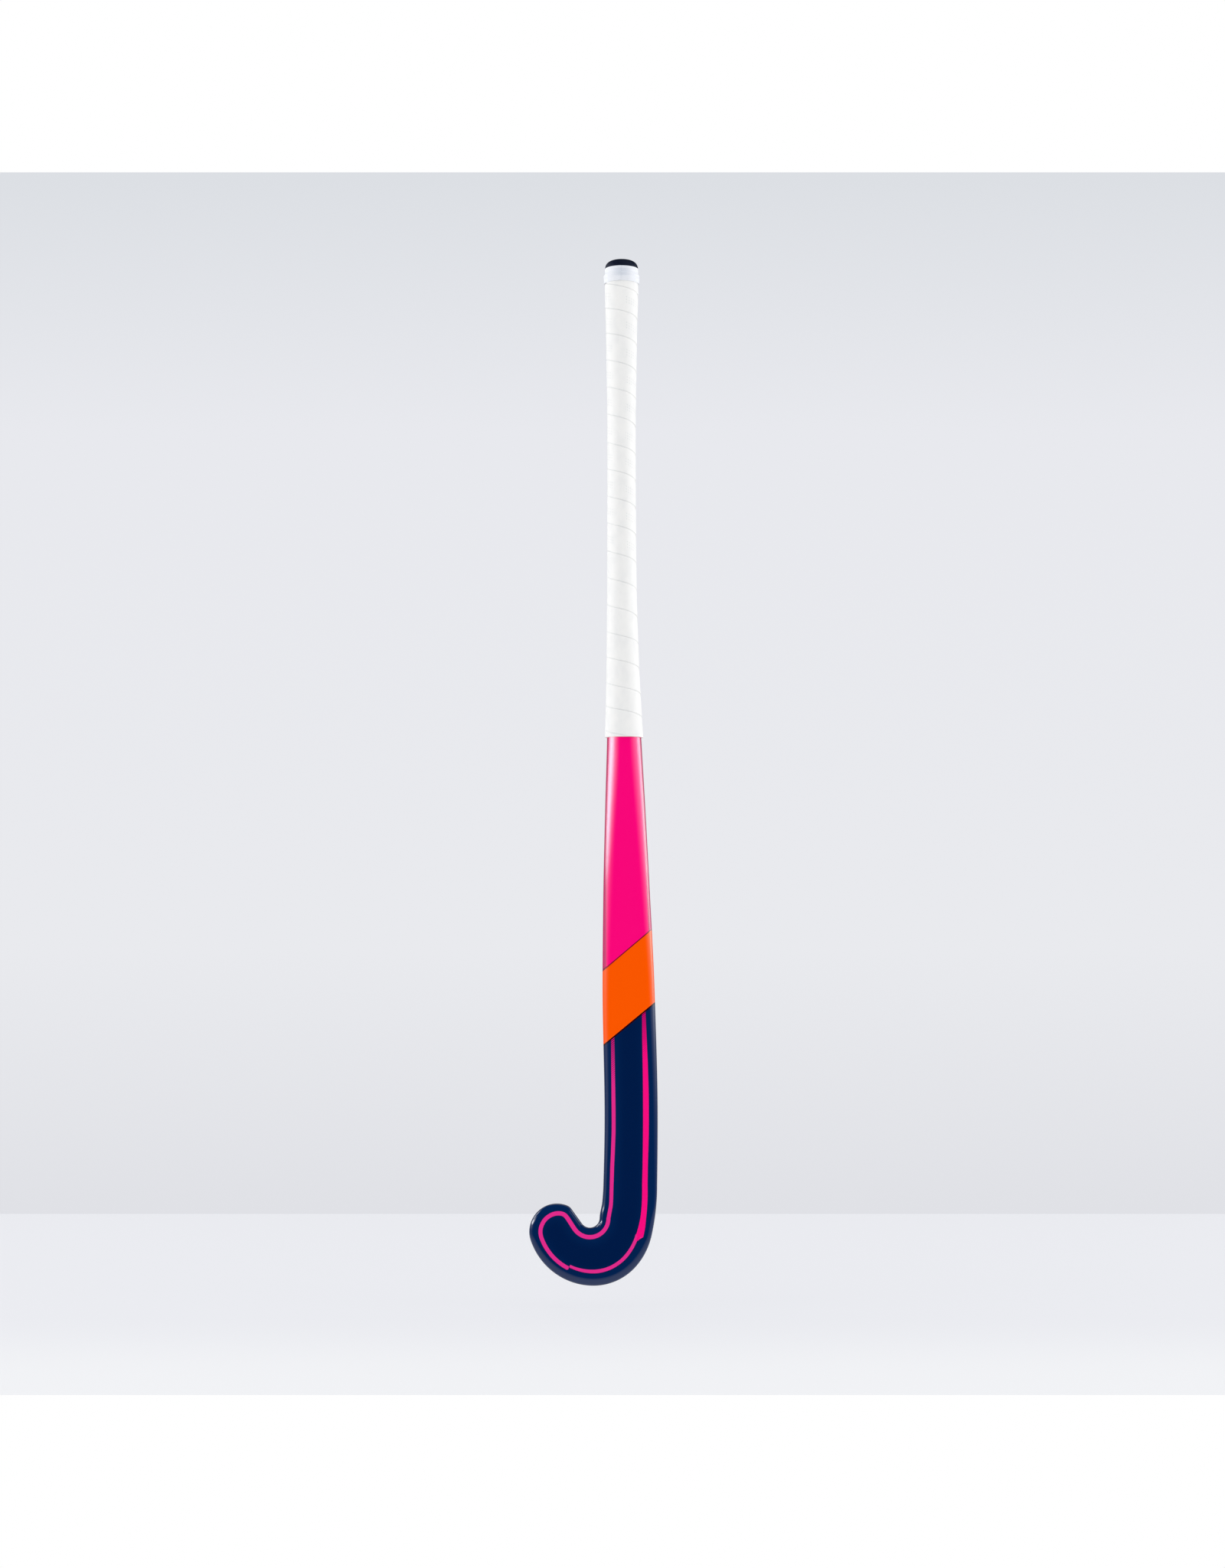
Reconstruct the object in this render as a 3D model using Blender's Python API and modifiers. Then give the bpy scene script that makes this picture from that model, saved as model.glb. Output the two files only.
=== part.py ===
"""Indoor hockey stick: a hollow moulded laminate with a hooked head, cored, capped and taped.

The stick stands with its handle along +Z, its flat playing face towards -Y and its toe
towards -X. Every height here is measured up from the lowest point of the heel. The origin
lies on the handle's axis, where the upper hand holds the stick.
"""

import math
from collections import namedtuple

import bmesh
import bpy
from mathutils import Vector

# Whole stick
STICK_LENGTH = 0.927
HOLD_HEIGHT = 0.700
BOW_DEPTH = 0.020
CLEARANCE = 0.0003

# Outline of the head, seen from the playing face
HEAD_DEPTH = 0.0200
STRAIGHT_FACE_HEIGHT = 0.095
LOW_POINT_REACH = 0.0256
UNDERSIDE_RADIUS = 0.0604
HEEL_RADIUS = 0.0520
HEEL_TURN = math.radians(50)
UPPER_HEEL_RADIUS = 0.0618
UPPER_HEEL_TURN = math.radians(27)
SHANK_RADIUS = 0.200
SHANK_TURN = math.radians(13)
TOE_HEIGHT = 0.0740
TOE_TIP_RADIUS = 0.0248
TOE_CORNER_RADIUS = 0.0085
TOE_HEADING = math.radians(110)
CROOK_REACH = 0.0286
CROOK_HEIGHT = 0.0520
CROOK_RADIUS = 0.0091
HOOK_LEAN = math.radians(52)

# Shaft between the head and the grip, as heights and half-widths either side of the handle's axis
LOWER_SHAFT_HEIGHT = 0.150
LOWER_SHAFT_TOE_SIDE = 0.0158
LOWER_SHAFT_HEEL_SIDE = 0.0327
LOWER_SHAFT_DEPTH = 0.0203
MIDDLE_SHAFT_HEIGHT = 0.268
MIDDLE_SHAFT_TOE_SIDE = 0.0177
MIDDLE_SHAFT_HEEL_SIDE = 0.0305
MIDDLE_SHAFT_DEPTH = 0.0212
TAPER_HEIGHT = 0.345
TAPER_TOE_SIDE = 0.0171
TAPER_HEEL_SIDE = 0.0265
TAPER_DEPTH = 0.0226
UPPER_TAPER_HEIGHT = 0.430
UPPER_TAPER_TOE_SIDE = 0.0153
UPPER_TAPER_HEEL_SIDE = 0.0220
UPPER_TAPER_DEPTH = 0.0246
NECK_TOE_SIDE = 0.0169

# Handle under the grip, as distances down from its top
FOOT_DROP = 0.4145
FOOT_TOE_SIDE = 0.0131
FOOT_HEEL_SIDE = 0.0178
FOOT_DEPTH = 0.0262
SWELL_DROP = 0.3495
SWELL_TOE_SIDE = 0.0119
SWELL_HEEL_SIDE = 0.0142
LOWER_WAIST_DROP = 0.2695
LOWER_WAIST_TOE_SIDE = 0.0112
LOWER_WAIST_HEEL_SIDE = 0.0118
WAIST_DROP = 0.1495
WAIST_WIDTH = 0.0220
HANDLE_DEPTH = 0.0274
FLARE_DROP = 0.0495
FLARE_WIDTH = 0.0246
BUTT_DROP = 0.0065
BUTT_DIAMETER = 0.0267

# Cross-section of the laminate: flat face, rounded edges and a crowned back
EDGE_ROUND = 0.0060
BACK_FULLNESS = 2.3
TOE_RUN_OUT = 0.0240
TOE_TIP_SHARE = 0.9975
LEAST_FLAT = 0.0002
SHAFT_WALL = 0.0030
HEAD_WALL = 0.0045
WALL_CHANGE_LOW = 0.110
WALL_CHANGE_HIGH = 0.190
CAVITY_TOE_SHARE = 0.60

# Inner pieces
CORE_TOP = 0.180
RIB_TOP = 0.600
RIB_THICKNESS = 0.0016
PLUG_LENGTH = 0.045
SOCKET_DEPTH = 0.024

# Strip bedded in the edge of the heel
GUARD_THICKNESS = 0.0018
GUARD_REACH = 0.0115
GUARD_FIRST_STEP = 2
GUARD_LAST_STEP = 11

# End cap
CAP_RISE = 0.0175
SPIGOT_RADIUS = 0.0060
SPIGOT_LENGTH = 0.020
SPIGOT_CHAMFER = 0.0010
LIP_RADIUS = 0.0142
LIP_HEIGHT = 0.0055
NUB_RADIUS = 0.0008
NUB_HEIGHT = 0.0003

# Grip tape, wound upwards with each turn lapped over the last
GRIP_LENGTH = 0.4165
GRIP_OVER_CAP = 0.0020
GRIP_PITCH = 0.0240
GRIP_LAP = 0.0040
GRIP_THICKNESS = 0.0018
GRIP_TUCK_THICKNESS = 0.0005
GRIP_RIDGE = 0.0021
GRIP_SELF_GAP = 0.00045
GRIP_SLOPE = 0.0009
GRIP_CUT_STEP = 0.00015
GRIP_START_ANGLE = math.radians(-70)

# Finishing tape round the top of the grip and the lip of the cap
COLLAR_THICKNESS = 0.0004
COLLAR_LENGTH = 0.0075
COLLAR_SEAM_GAP = 0.0005
COLLAR_SEAM_ANGLE = math.radians(-102)

# Facets
SHAFT_STEPS = 36
CAVITY_STEPS = 22
HOOK_STEPS = 14
TOE_STEPS = 9
EDGE_STEPS = 5
BACK_STEPS = 6
CAVITY_EDGE_STEPS = 3
CAVITY_BACK_STEPS = 4
GUARD_BACK_STEPS = 4
STEPS_PER_TURN = 24
TURNED_STEPS = 32

# Heights that follow from the sizes above
HANDLE_TOP = STICK_LENGTH - CAP_RISE
GRIP_TOP = HANDLE_TOP + GRIP_OVER_CAP
GRIP_FOOT = GRIP_TOP - GRIP_LENGTH
LIP_FOOT = GRIP_TOP + CLEARANCE
DOME_FOOT = LIP_FOOT + LIP_HEIGHT
BOW_TOP = HANDLE_TOP - 2 * BUTT_DROP

# Colours as base colour, roughness and metallic
FINISHES = {
    "navy_laminate": ((0.002, 0.011, 0.058), 0.22, 0.0),
    "core_foam": ((0.62, 0.52, 0.30), 0.90, 0.0),
    "rib_laminate": ((0.03, 0.03, 0.03), 0.45, 0.0),
    "heel_strip": ((0.002, 0.011, 0.058), 0.30, 0.0),
    "plug_wood": ((0.55, 0.38, 0.20), 0.75, 0.0),
    "cap_rubber": ((0.012, 0.013, 0.018), 0.55, 0.0),
    "grip_cushion": ((0.86, 0.86, 0.86), 0.60, 0.0),
    "finishing_tape": ((0.70, 0.74, 0.80), 0.45, 0.0),
}

Station = namedtuple("Station", "height toe_side heel_side depth roundness")
Ring = namedtuple("Ring", "toe_edge heel_edge front back waist roundness wall")
BackShape = namedtuple("BackShape", "width rise power")


class Arc:
    """A round stretch of the outline, in the plane of the playing face."""

    def __init__(self, centre, radius, start, end):
        self.centre = centre
        self.radius = radius
        self.start = start
        self.end = end
        self.length = radius * abs(end - start)

    def at(self, distance):
        turned = math.copysign(distance / self.radius, self.end - self.start)
        return self.centre + self.radius * heading(self.start + turned)


class Straight:
    """A straight stretch of the outline."""

    def __init__(self, start, end):
        self.start = start
        self.end = end
        self.length = (end - start).length

    def at(self, distance):
        return self.start.lerp(self.end, distance / self.length)


class Edge:
    """Stretches of the outline end to end, read by the distance along them."""

    def __init__(self, *stretches):
        self.stretches = stretches
        self.length = sum(stretch.length for stretch in stretches)

    def at(self, distance):
        for stretch in self.stretches[:-1]:
            if distance <= stretch.length:
                return stretch.at(distance)
            distance -= stretch.length
        return self.stretches[-1].at(distance)


def heading(angle):
    """Unit vector at an angle from the heel side towards the butt."""
    return Vector((math.cos(angle), math.sin(angle)))


def inner_meeting(large_centre, large_radius, small_radius, height):
    """Centre at a height of a small circle that touches a large one from inside, on the toe side."""
    rise = height - large_centre.y
    reach = math.sqrt((large_radius - small_radius) ** 2 - rise**2)
    return Vector((large_centre.x - reach, height))


# Arc centres round the head
heel_centre = Vector((-LOW_POINT_REACH, HEEL_RADIUS))
upper_heel_start = -math.pi / 2 + HEEL_TURN
upper_heel_centre = heel_centre - (UPPER_HEEL_RADIUS - HEEL_RADIUS) * heading(upper_heel_start)
shank_start = upper_heel_start + UPPER_HEEL_TURN
shank_centre = upper_heel_centre - (SHANK_RADIUS - UPPER_HEEL_RADIUS) * heading(shank_start)
shank_end = shank_start + SHANK_TURN
underside_centre = Vector((-LOW_POINT_REACH, UNDERSIDE_RADIUS))
toe_centre = inner_meeting(
    underside_centre, UNDERSIDE_RADIUS, TOE_TIP_RADIUS, TOE_HEIGHT - TOE_TIP_RADIUS
)
toe_offset = toe_centre - underside_centre
toe_start = math.atan2(toe_offset.y, toe_offset.x) + 2 * math.pi
crook_centre = Vector((-CROOK_REACH, CROOK_HEIGHT + CROOK_RADIUS))
hook_normal = heading(math.pi / 2 - HOOK_LEAN)
hook_foot = crook_centre - CROOK_RADIUS * hook_normal
hook_direction = heading(math.pi - HOOK_LEAN)


def toe_corner():
    """Centre of the arc that joins the hook's straight edge to the tip of the toe."""
    start = hook_foot - TOE_CORNER_RADIUS * hook_normal
    offset = start - toe_centre
    half_b = offset.dot(hook_direction)
    c = offset.length_squared - (TOE_TIP_RADIUS - TOE_CORNER_RADIUS) ** 2
    return start + (math.sqrt(half_b**2 - c) - half_b) * hook_direction


corner_centre = toe_corner()
corner_offset = corner_centre - toe_centre
corner_end = math.atan2(corner_offset.y, corner_offset.x)
neck_height = shank_centre.y + SHANK_RADIUS * math.sin(shank_end)

OUTER_EDGE = Edge(
    Arc(shank_centre, SHANK_RADIUS, shank_end, shank_start),
    Arc(upper_heel_centre, UPPER_HEEL_RADIUS, shank_start, upper_heel_start),
    Arc(heel_centre, HEEL_RADIUS, upper_heel_start, -math.pi / 2),
    Arc(underside_centre, UNDERSIDE_RADIUS, 3 * math.pi / 2, toe_start),
    Arc(toe_centre, TOE_TIP_RADIUS, toe_start, TOE_HEADING),
)
CROOK_EDGE = Arc(crook_centre, CROOK_RADIUS, 0.0, -math.pi / 2 - HOOK_LEAN)
TOE_EDGE = Edge(
    Straight(hook_foot, corner_centre + TOE_CORNER_RADIUS * hook_normal),
    Arc(corner_centre, TOE_CORNER_RADIUS, math.pi / 2 - HOOK_LEAN, corner_end),
    Arc(toe_centre, TOE_TIP_RADIUS, corner_end, TOE_HEADING),
)
TOE_POLE = toe_centre + TOE_TIP_RADIUS * heading(TOE_HEADING)


def outer_distance_at(height):
    """Distance along the outer edge at which the heel side passes a height."""
    low, high = 0.0, OUTER_EDGE.length / 2
    for _ in range(40):
        middle = (low + high) / 2
        if OUTER_EDGE.at(middle).y > height:
            low = middle
        else:
            high = middle
    return low


def opposite_hook_foot():
    """Distance along the outer edge straight across the toe from the foot of the hook."""
    offset = hook_foot - underside_centre
    along = offset.dot(hook_normal)
    reach = along + math.sqrt(along**2 - offset.length_squared + UNDERSIDE_RADIUS**2)
    across = offset - reach * hook_normal
    turned = 3 * math.pi / 2 - (math.atan2(across.y, across.x) + 2 * math.pi)
    return sum(stretch.length for stretch in OUTER_EDGE.stretches[:3]) + UNDERSIDE_RADIUS * turned


CROOK_LEVEL = crook_centre.y
OUTER_CROOK = outer_distance_at(CROOK_LEVEL)
OUTER_HOOK = opposite_hook_foot()


def shaft_stations():
    """Widths, depth and roundness of the stick from the level of the crook up to the butt."""
    crook_heel_side = OUTER_EDGE.at(OUTER_CROOK).x
    neck_heel_side = OUTER_EDGE.at(0.0).x
    butt = BUTT_DIAMETER / 2
    flare = FLARE_WIDTH / 2
    waist = WAIST_WIDTH / 2
    stations = [
        Station(CROOK_LEVEL, CROOK_REACH - CROOK_RADIUS, crook_heel_side, HEAD_DEPTH, 0.0),
        Station(neck_height, NECK_TOE_SIDE, neck_heel_side, HEAD_DEPTH, 0.0),
        Station(
            LOWER_SHAFT_HEIGHT,
            LOWER_SHAFT_TOE_SIDE,
            LOWER_SHAFT_HEEL_SIDE,
            LOWER_SHAFT_DEPTH,
            0.10,
        ),
        Station(
            MIDDLE_SHAFT_HEIGHT,
            MIDDLE_SHAFT_TOE_SIDE,
            MIDDLE_SHAFT_HEEL_SIDE,
            MIDDLE_SHAFT_DEPTH,
            0.25,
        ),
        Station(TAPER_HEIGHT, TAPER_TOE_SIDE, TAPER_HEEL_SIDE, TAPER_DEPTH, 0.50),
        Station(
            UPPER_TAPER_HEIGHT, UPPER_TAPER_TOE_SIDE, UPPER_TAPER_HEEL_SIDE, UPPER_TAPER_DEPTH, 0.80
        ),
        Station(HANDLE_TOP - FOOT_DROP, FOOT_TOE_SIDE, FOOT_HEEL_SIDE, FOOT_DEPTH, 1.0),
        Station(HANDLE_TOP - SWELL_DROP, SWELL_TOE_SIDE, SWELL_HEEL_SIDE, HANDLE_DEPTH, 1.0),
        Station(
            HANDLE_TOP - LOWER_WAIST_DROP,
            LOWER_WAIST_TOE_SIDE,
            LOWER_WAIST_HEEL_SIDE,
            HANDLE_DEPTH,
            1.0,
        ),
        Station(HANDLE_TOP - WAIST_DROP, waist, waist, HANDLE_DEPTH, 1.0),
        Station(HANDLE_TOP - FLARE_DROP, flare, flare, (HANDLE_DEPTH + BUTT_DIAMETER) / 2, 1.0),
        Station(HANDLE_TOP - BUTT_DROP, butt, butt, BUTT_DIAMETER, 1.0),
        Station(HANDLE_TOP, butt, butt, BUTT_DIAMETER, 1.0),
    ]
    return sorted(stations)


STATIONS = shaft_stations()


def slope_at(index, field):
    """Slope of a station's value that keeps the curve through all stations free of overshoot."""
    if index in (0, len(STATIONS) - 1):
        return 0.0
    before, here, after = STATIONS[index - 1 : index + 2]
    lower = (here[field] - before[field]) / (here.height - before.height)
    upper = (after[field] - here[field]) / (after.height - here.height)
    if lower * upper <= 0:
        return 0.0
    return 2 * lower * upper / (lower + upper)


def station_at(height):
    """The shaft's widths, depth and roundness at any height, smooth through its stations."""
    index = 0
    while index < len(STATIONS) - 2 and height > STATIONS[index + 1].height:
        index += 1
    low, high = STATIONS[index], STATIONS[index + 1]
    span = high.height - low.height
    t = min(max((height - low.height) / span, 0.0), 1.0)
    values = [height]
    for field in range(1, len(low)):
        start = slope_at(index, field) * span
        end = slope_at(index + 1, field) * span
        values.append(
            (2 * t**3 - 3 * t**2 + 1) * low[field]
            + (t**3 - 2 * t**2 + t) * start
            + (3 * t**2 - 2 * t**3) * high[field]
            + (t**3 - t**2) * end
        )
    return Station(*values)


def bow_curve(height):
    """Bend of the shaft towards its back, deepest at two fifths of its height."""
    share = height / BOW_TOP
    return BOW_DEPTH * share * (1 - share) ** 1.5 / (0.4 * 0.6**1.5)


def bow_at(height):
    """Bend of the stick at any height: straight through the head and at the butt."""
    if height >= BOW_TOP:
        return 0.0
    if height >= STRAIGHT_FACE_HEIGHT:
        return bow_curve(height)
    share = STRAIGHT_FACE_HEIGHT / BOW_TOP
    slope = BOW_DEPTH / BOW_TOP * (1 - share) ** 0.5 * (1 - 2.5 * share) / (0.4 * 0.6**1.5)
    return bow_curve(STRAIGHT_FACE_HEIGHT) + slope * (height - STRAIGHT_FACE_HEIGHT)


BUTT_AXIS = Vector((0.0, -bow_at(HOLD_HEIGHT), -HOLD_HEIGHT))


def place(across, depth, height):
    """Point in space of a place on the stick, given as if the stick were not bowed."""
    return BUTT_AXIS + Vector((across, depth + bow_at(height), height))


def wall_at(height):
    """Thickness of the laminate, which grows towards the head."""
    t = (height - WALL_CHANGE_LOW) / (WALL_CHANGE_HIGH - WALL_CHANGE_LOW)
    t = min(max(t, 0.0), 1.0)
    return HEAD_WALL + (SHAFT_WALL - HEAD_WALL) * t * t * (3 - 2 * t)


def shaft_ring(height):
    """Section of the shaft at a height."""
    station = station_at(height)
    half_depth = station.depth / 2
    edge = EDGE_ROUND + (half_depth - EDGE_ROUND) * station.roundness
    toe_edge = Vector((-station.toe_side, height))
    heel_edge = Vector((station.heel_side, height))
    if CROOK_LEVEL < height < neck_height:
        heel_edge = OUTER_EDGE.at(outer_distance_at(height))
    return Ring(
        toe_edge,
        heel_edge,
        half_depth,
        half_depth,
        edge - half_depth,
        station.roundness,
        wall_at(height),
    )


def hook_ring(share):
    """Section across the heel, from the crook's level at 0 to the foot of the hook at 1."""
    outer = OUTER_CROOK + (OUTER_HOOK - OUTER_CROOK) * share
    half = HEAD_DEPTH / 2
    toe_edge = CROOK_EDGE.at(CROOK_EDGE.length * share)
    return Ring(toe_edge, OUTER_EDGE.at(outer), half, half, EDGE_ROUND - half, 0.0, HEAD_WALL)


def crown(share):
    """Height of a quarter circle at a share of its run."""
    return math.sqrt(1 - (1 - min(share, 1.0)) ** 2)


def toe_ring(share):
    """Section across the toe, from the foot of the hook at 0 to the tip at 1, thinned at the tip."""
    toe_edge = TOE_EDGE.at(TOE_EDGE.length * share)
    heel_edge = OUTER_EDGE.at(OUTER_HOOK + (OUTER_EDGE.length - OUTER_HOOK) * share)
    run = ((toe_edge + heel_edge) / 2 - TOE_POLE).length
    half = HEAD_DEPTH / 2
    waist = EDGE_ROUND - half
    front = EDGE_ROUND * crown(run / EDGE_ROUND) - waist
    back = (half - waist) * crown(run / TOE_RUN_OUT) + waist
    return Ring(toe_edge, heel_edge, front, back, waist, 0.0, HEAD_WALL)


def flat_half_width(ring):
    """Half the width of the flat on a section's playing face."""
    half = (ring.heel_edge - ring.toe_edge).length / 2
    flat = max(half - EDGE_ROUND, 0.0) * (1 - ring.roundness)
    return max(flat, min(LEAST_FLAT, half / 3))


def back_shape(ring, inset):
    """Half-width, crown height and power of the curve round a section's back."""
    half = (ring.heel_edge - ring.toe_edge).length / 2
    fullness = BACK_FULLNESS + (2 - BACK_FULLNESS) * ring.roundness
    return BackShape(half - inset, ring.back - inset - ring.waist, 2 / fullness)


def back_point(ring, shape, turn):
    """Point of a section's back at a turn up from its widest place."""
    across = shape.width * max(math.cos(turn), 0.0) ** shape.power
    return across, ring.waist + shape.rise * math.sin(turn) ** shape.power


def heel_half(ring, inset, edge_steps, back_steps):
    """Heel-side half of a section, as (across, depth) from its face round to its back's middle."""
    flat = flat_half_width(ring)
    shape = back_shape(ring, inset)
    rise = ring.front + ring.waist - inset
    points = []
    for step in range(edge_steps):
        turn = math.pi / 2 * step / edge_steps
        across = flat + (shape.width - flat) * math.sin(turn)
        points.append((across, ring.waist - rise * math.cos(turn)))
    for step in range(back_steps):
        points.append(back_point(ring, shape, math.pi / 2 * step / back_steps))
    points.append((0.0, ring.waist + shape.rise))
    return points


def on_ring(ring, across, depth):
    """Point in space from a section's own across and depth."""
    middle = (ring.toe_edge + ring.heel_edge) / 2
    along = (ring.heel_edge - ring.toe_edge).normalized()
    point = middle + across * along
    return place(point.x, depth, point.y)


def section(ring, inset=0.0, edge_steps=EDGE_STEPS, back_steps=BACK_STEPS):
    """Closed loop of points round a section, set in from the surface by an inset."""
    heel = heel_half(ring, inset, edge_steps, back_steps)
    toe = [(-across, depth) for across, depth in reversed(heel[:-1])]
    return [on_ring(ring, across, depth) for across, depth in heel + toe]


def loft(loops):
    """Closed mesh through loops of equally many points, with both ends filled."""
    mesh = bmesh.new()
    rows = [[mesh.verts.new(point) for point in loop] for loop in loops]
    for lower, upper in zip(rows, rows[1:]):
        count = len(lower)
        for i in range(count):
            j = (i + 1) % count
            mesh.faces.new((lower[i], lower[j], upper[j], upper[i]))
    mesh.faces.new(rows[0][::-1])
    mesh.faces.new(rows[-1])
    bmesh.ops.recalc_face_normals(mesh, faces=mesh.faces)
    return mesh


def new_object(name, mesh, collection):
    """Object with a mesh built in place, in its collection."""
    data = bpy.data.meshes.new(name)
    mesh.to_mesh(data)
    mesh.free()
    obj = bpy.data.objects.new(name, data)
    collection.objects.link(obj)
    return obj


def finish(obj, finish_name):
    """Gives a piece its material and smooth round faces."""
    colour, roughness, metallic = FINISHES[finish_name]
    material = bpy.data.materials.new(finish_name)
    material.use_nodes = True
    shader = material.node_tree.nodes["Principled BSDF"]
    shader.inputs["Base Color"].default_value = (*colour, 1.0)
    shader.inputs["Roughness"].default_value = roughness
    shader.inputs["Metallic"].default_value = metallic
    material.diffuse_color = (*colour, 1.0)
    obj.data.materials.append(material)
    obj.data.shade_smooth()
    obj.data.set_sharp_from_angle(angle=math.radians(35))


def cut(obj, name, mesh, cutters):
    """Cuts a closed mesh out of an object."""
    cutter = new_object(name, mesh, cutters)
    cutter.hide_render = True
    cutter.display_type = "WIRE"
    modifier = obj.modifiers.new(name, "BOOLEAN")
    modifier.operation = "DIFFERENCE"
    modifier.object = cutter


def even_heights(top, bottom, steps):
    """Heights spaced evenly from a top down to a bottom, both included."""
    return [top + (bottom - top) * step / steps for step in range(steps + 1)]


def head_rings(toe_end, toe_steps):
    """Sections round the hook, from just under the crook's level to a share of the way up the toe."""
    rings = [hook_ring(step / HOOK_STEPS) for step in range(1, HOOK_STEPS + 1)]
    for step in range(1, toe_steps + 1):
        share = 1 - (1 - step / (toe_steps + 1)) ** 2
        top = 1 - (1 - toe_steps / (toe_steps + 1)) ** 2
        rings.append(toe_ring(toe_end * share / top))
    return rings


def cavity_loops(clearance, top, bottom, toe_end):
    """Loops of the hollow inside the laminate, or of what fills it with a clearance all round."""
    steps = max(3, round(CAVITY_STEPS * (top - bottom) / (HANDLE_TOP - CROOK_LEVEL)))
    rings = [shaft_ring(height) for height in even_heights(top, bottom, steps)]
    if toe_end:
        rings += head_rings(toe_end, TOE_STEPS // 2)
    return [
        section(ring, ring.wall + clearance, CAVITY_EDGE_STEPS, CAVITY_BACK_STEPS) for ring in rings
    ]


def guard_loops(clearance):
    """Loops of the strip round the edge of the heel, or of its bed with a clearance all round."""
    outset = 0.001 if clearance else 0.0
    reach = GUARD_REACH + clearance
    end_trim = CLEARANCE / (OUTER_HOOK - OUTER_CROOK) if not clearance else 0.0
    shares = [step / HOOK_STEPS for step in range(GUARD_FIRST_STEP, GUARD_LAST_STEP + 1)]
    shares[0] += end_trim
    shares[-1] -= end_trim
    loops = []
    for share in shares:
        ring = hook_ring(share)
        half = (ring.heel_edge - ring.toe_edge).length / 2
        outer = strip_line(ring, -outset, half - reach)
        inner = strip_line(ring, GUARD_THICKNESS + clearance, half - reach)
        loops.append([on_ring(ring, *point) for point in outer + inner[::-1]])
    return loops


def strip_line(ring, inset, limit):
    """Line round the heel-side edge of a section, from its face to its back, ending at a limit."""
    edge = heel_half(ring, inset, EDGE_STEPS, 1)[:EDGE_STEPS]
    shape = back_shape(ring, inset)
    last_turn = math.acos((limit / shape.width) ** (1 / shape.power))
    turns = [last_turn * step / GUARD_BACK_STEPS for step in range(GUARD_BACK_STEPS + 1)]
    return [(limit, edge[0][1]), *edge, *(back_point(ring, shape, turn) for turn in turns)]


def turned(name, profile, collection, angle=2 * math.pi):
    """Turned surface from a profile of (radius, height), given from the top down its outer side."""
    mesh = bmesh.new()
    points = [mesh.verts.new((radius, 0.0, height)) for radius, height in profile]
    for start, end in zip(points, points[1:]):
        mesh.edges.new((start, end))
    obj = new_object(name, mesh, collection)
    obj.location = BUTT_AXIS
    screw = obj.modifiers.new("turn", "SCREW")
    screw.angle = angle
    screw.steps = TURNED_STEPS
    screw.render_steps = TURNED_STEPS
    screw.use_merge_vertices = angle == 2 * math.pi
    screw.merge_threshold = 0.00001
    return obj


def make_shell(parts, cutters):
    """The moulded laminate, hollow from its open butt to the toe, with a bed for the heel strip."""
    rings = [shaft_ring(height) for height in even_heights(HANDLE_TOP, CROOK_LEVEL, SHAFT_STEPS)]
    rings += head_rings(TOE_TIP_SHARE, TOE_STEPS)
    shell = new_object("stick_shell", loft([section(ring) for ring in rings]), parts)
    cavity = cavity_loops(0.0, HANDLE_TOP, CROOK_LEVEL, CAVITY_TOE_SHARE)
    mouth = [point + Vector((0.0, 0.0, BUTT_DROP)) for point in cavity[0]]
    cut(shell, "cavity_cutter", loft([mouth, *cavity]), cutters)
    cut(shell, "heel_bed_cutter", loft(guard_loops(CLEARANCE)), cutters)
    finish(shell, "navy_laminate")


def make_core(parts):
    """Foam that fills the hollow head and the foot of the shaft."""
    toe_end = CAVITY_TOE_SHARE - CLEARANCE / TOE_EDGE.length
    core = new_object(
        "head_core", loft(cavity_loops(CLEARANCE, CORE_TOP, CROOK_LEVEL, toe_end)), parts
    )
    finish(core, "core_foam")


def make_rib(parts):
    """Web between the playing face and the back, up the middle of the hollow shaft."""
    half = RIB_THICKNESS / 2
    loops = []
    for height in even_heights(RIB_TOP, CORE_TOP + CLEARANCE, CAVITY_STEPS // 2):
        ring = shaft_ring(height)
        inset = ring.wall + CLEARANCE
        front, back = inset - ring.front, ring.back - inset
        corners = ((-half, front), (half, front), (half, back), (-half, back))
        loops.append([on_ring(ring, across, depth) for across, depth in corners])
    finish(new_object("centre_rib", loft(loops), parts), "rib_laminate")


def make_guard(parts):
    """Hard-wearing strip laid flush in the edge of the heel."""
    finish(new_object("heel_guard", loft(guard_loops(0.0)), parts), "heel_strip")


def make_plug(parts, cutters):
    """Plug bonded into the butt, with a socket for the cap's spigot."""
    loops = cavity_loops(CLEARANCE, HANDLE_TOP, HANDLE_TOP - PLUG_LENGTH, 0.0)
    plug = new_object("butt_plug", loft(loops), parts)
    socket = bmesh.new()
    bmesh.ops.create_cone(
        socket,
        cap_ends=True,
        segments=TURNED_STEPS,
        radius1=SPIGOT_RADIUS + CLEARANCE,
        radius2=SPIGOT_RADIUS + CLEARANCE,
        depth=2 * SOCKET_DEPTH,
    )
    butt = BUTT_AXIS + Vector((0.0, 0.0, HANDLE_TOP))
    bmesh.ops.translate(socket, verts=socket.verts, vec=butt)
    cut(plug, "socket_cutter", socket, cutters)
    finish(plug, "plug_wood")


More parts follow.
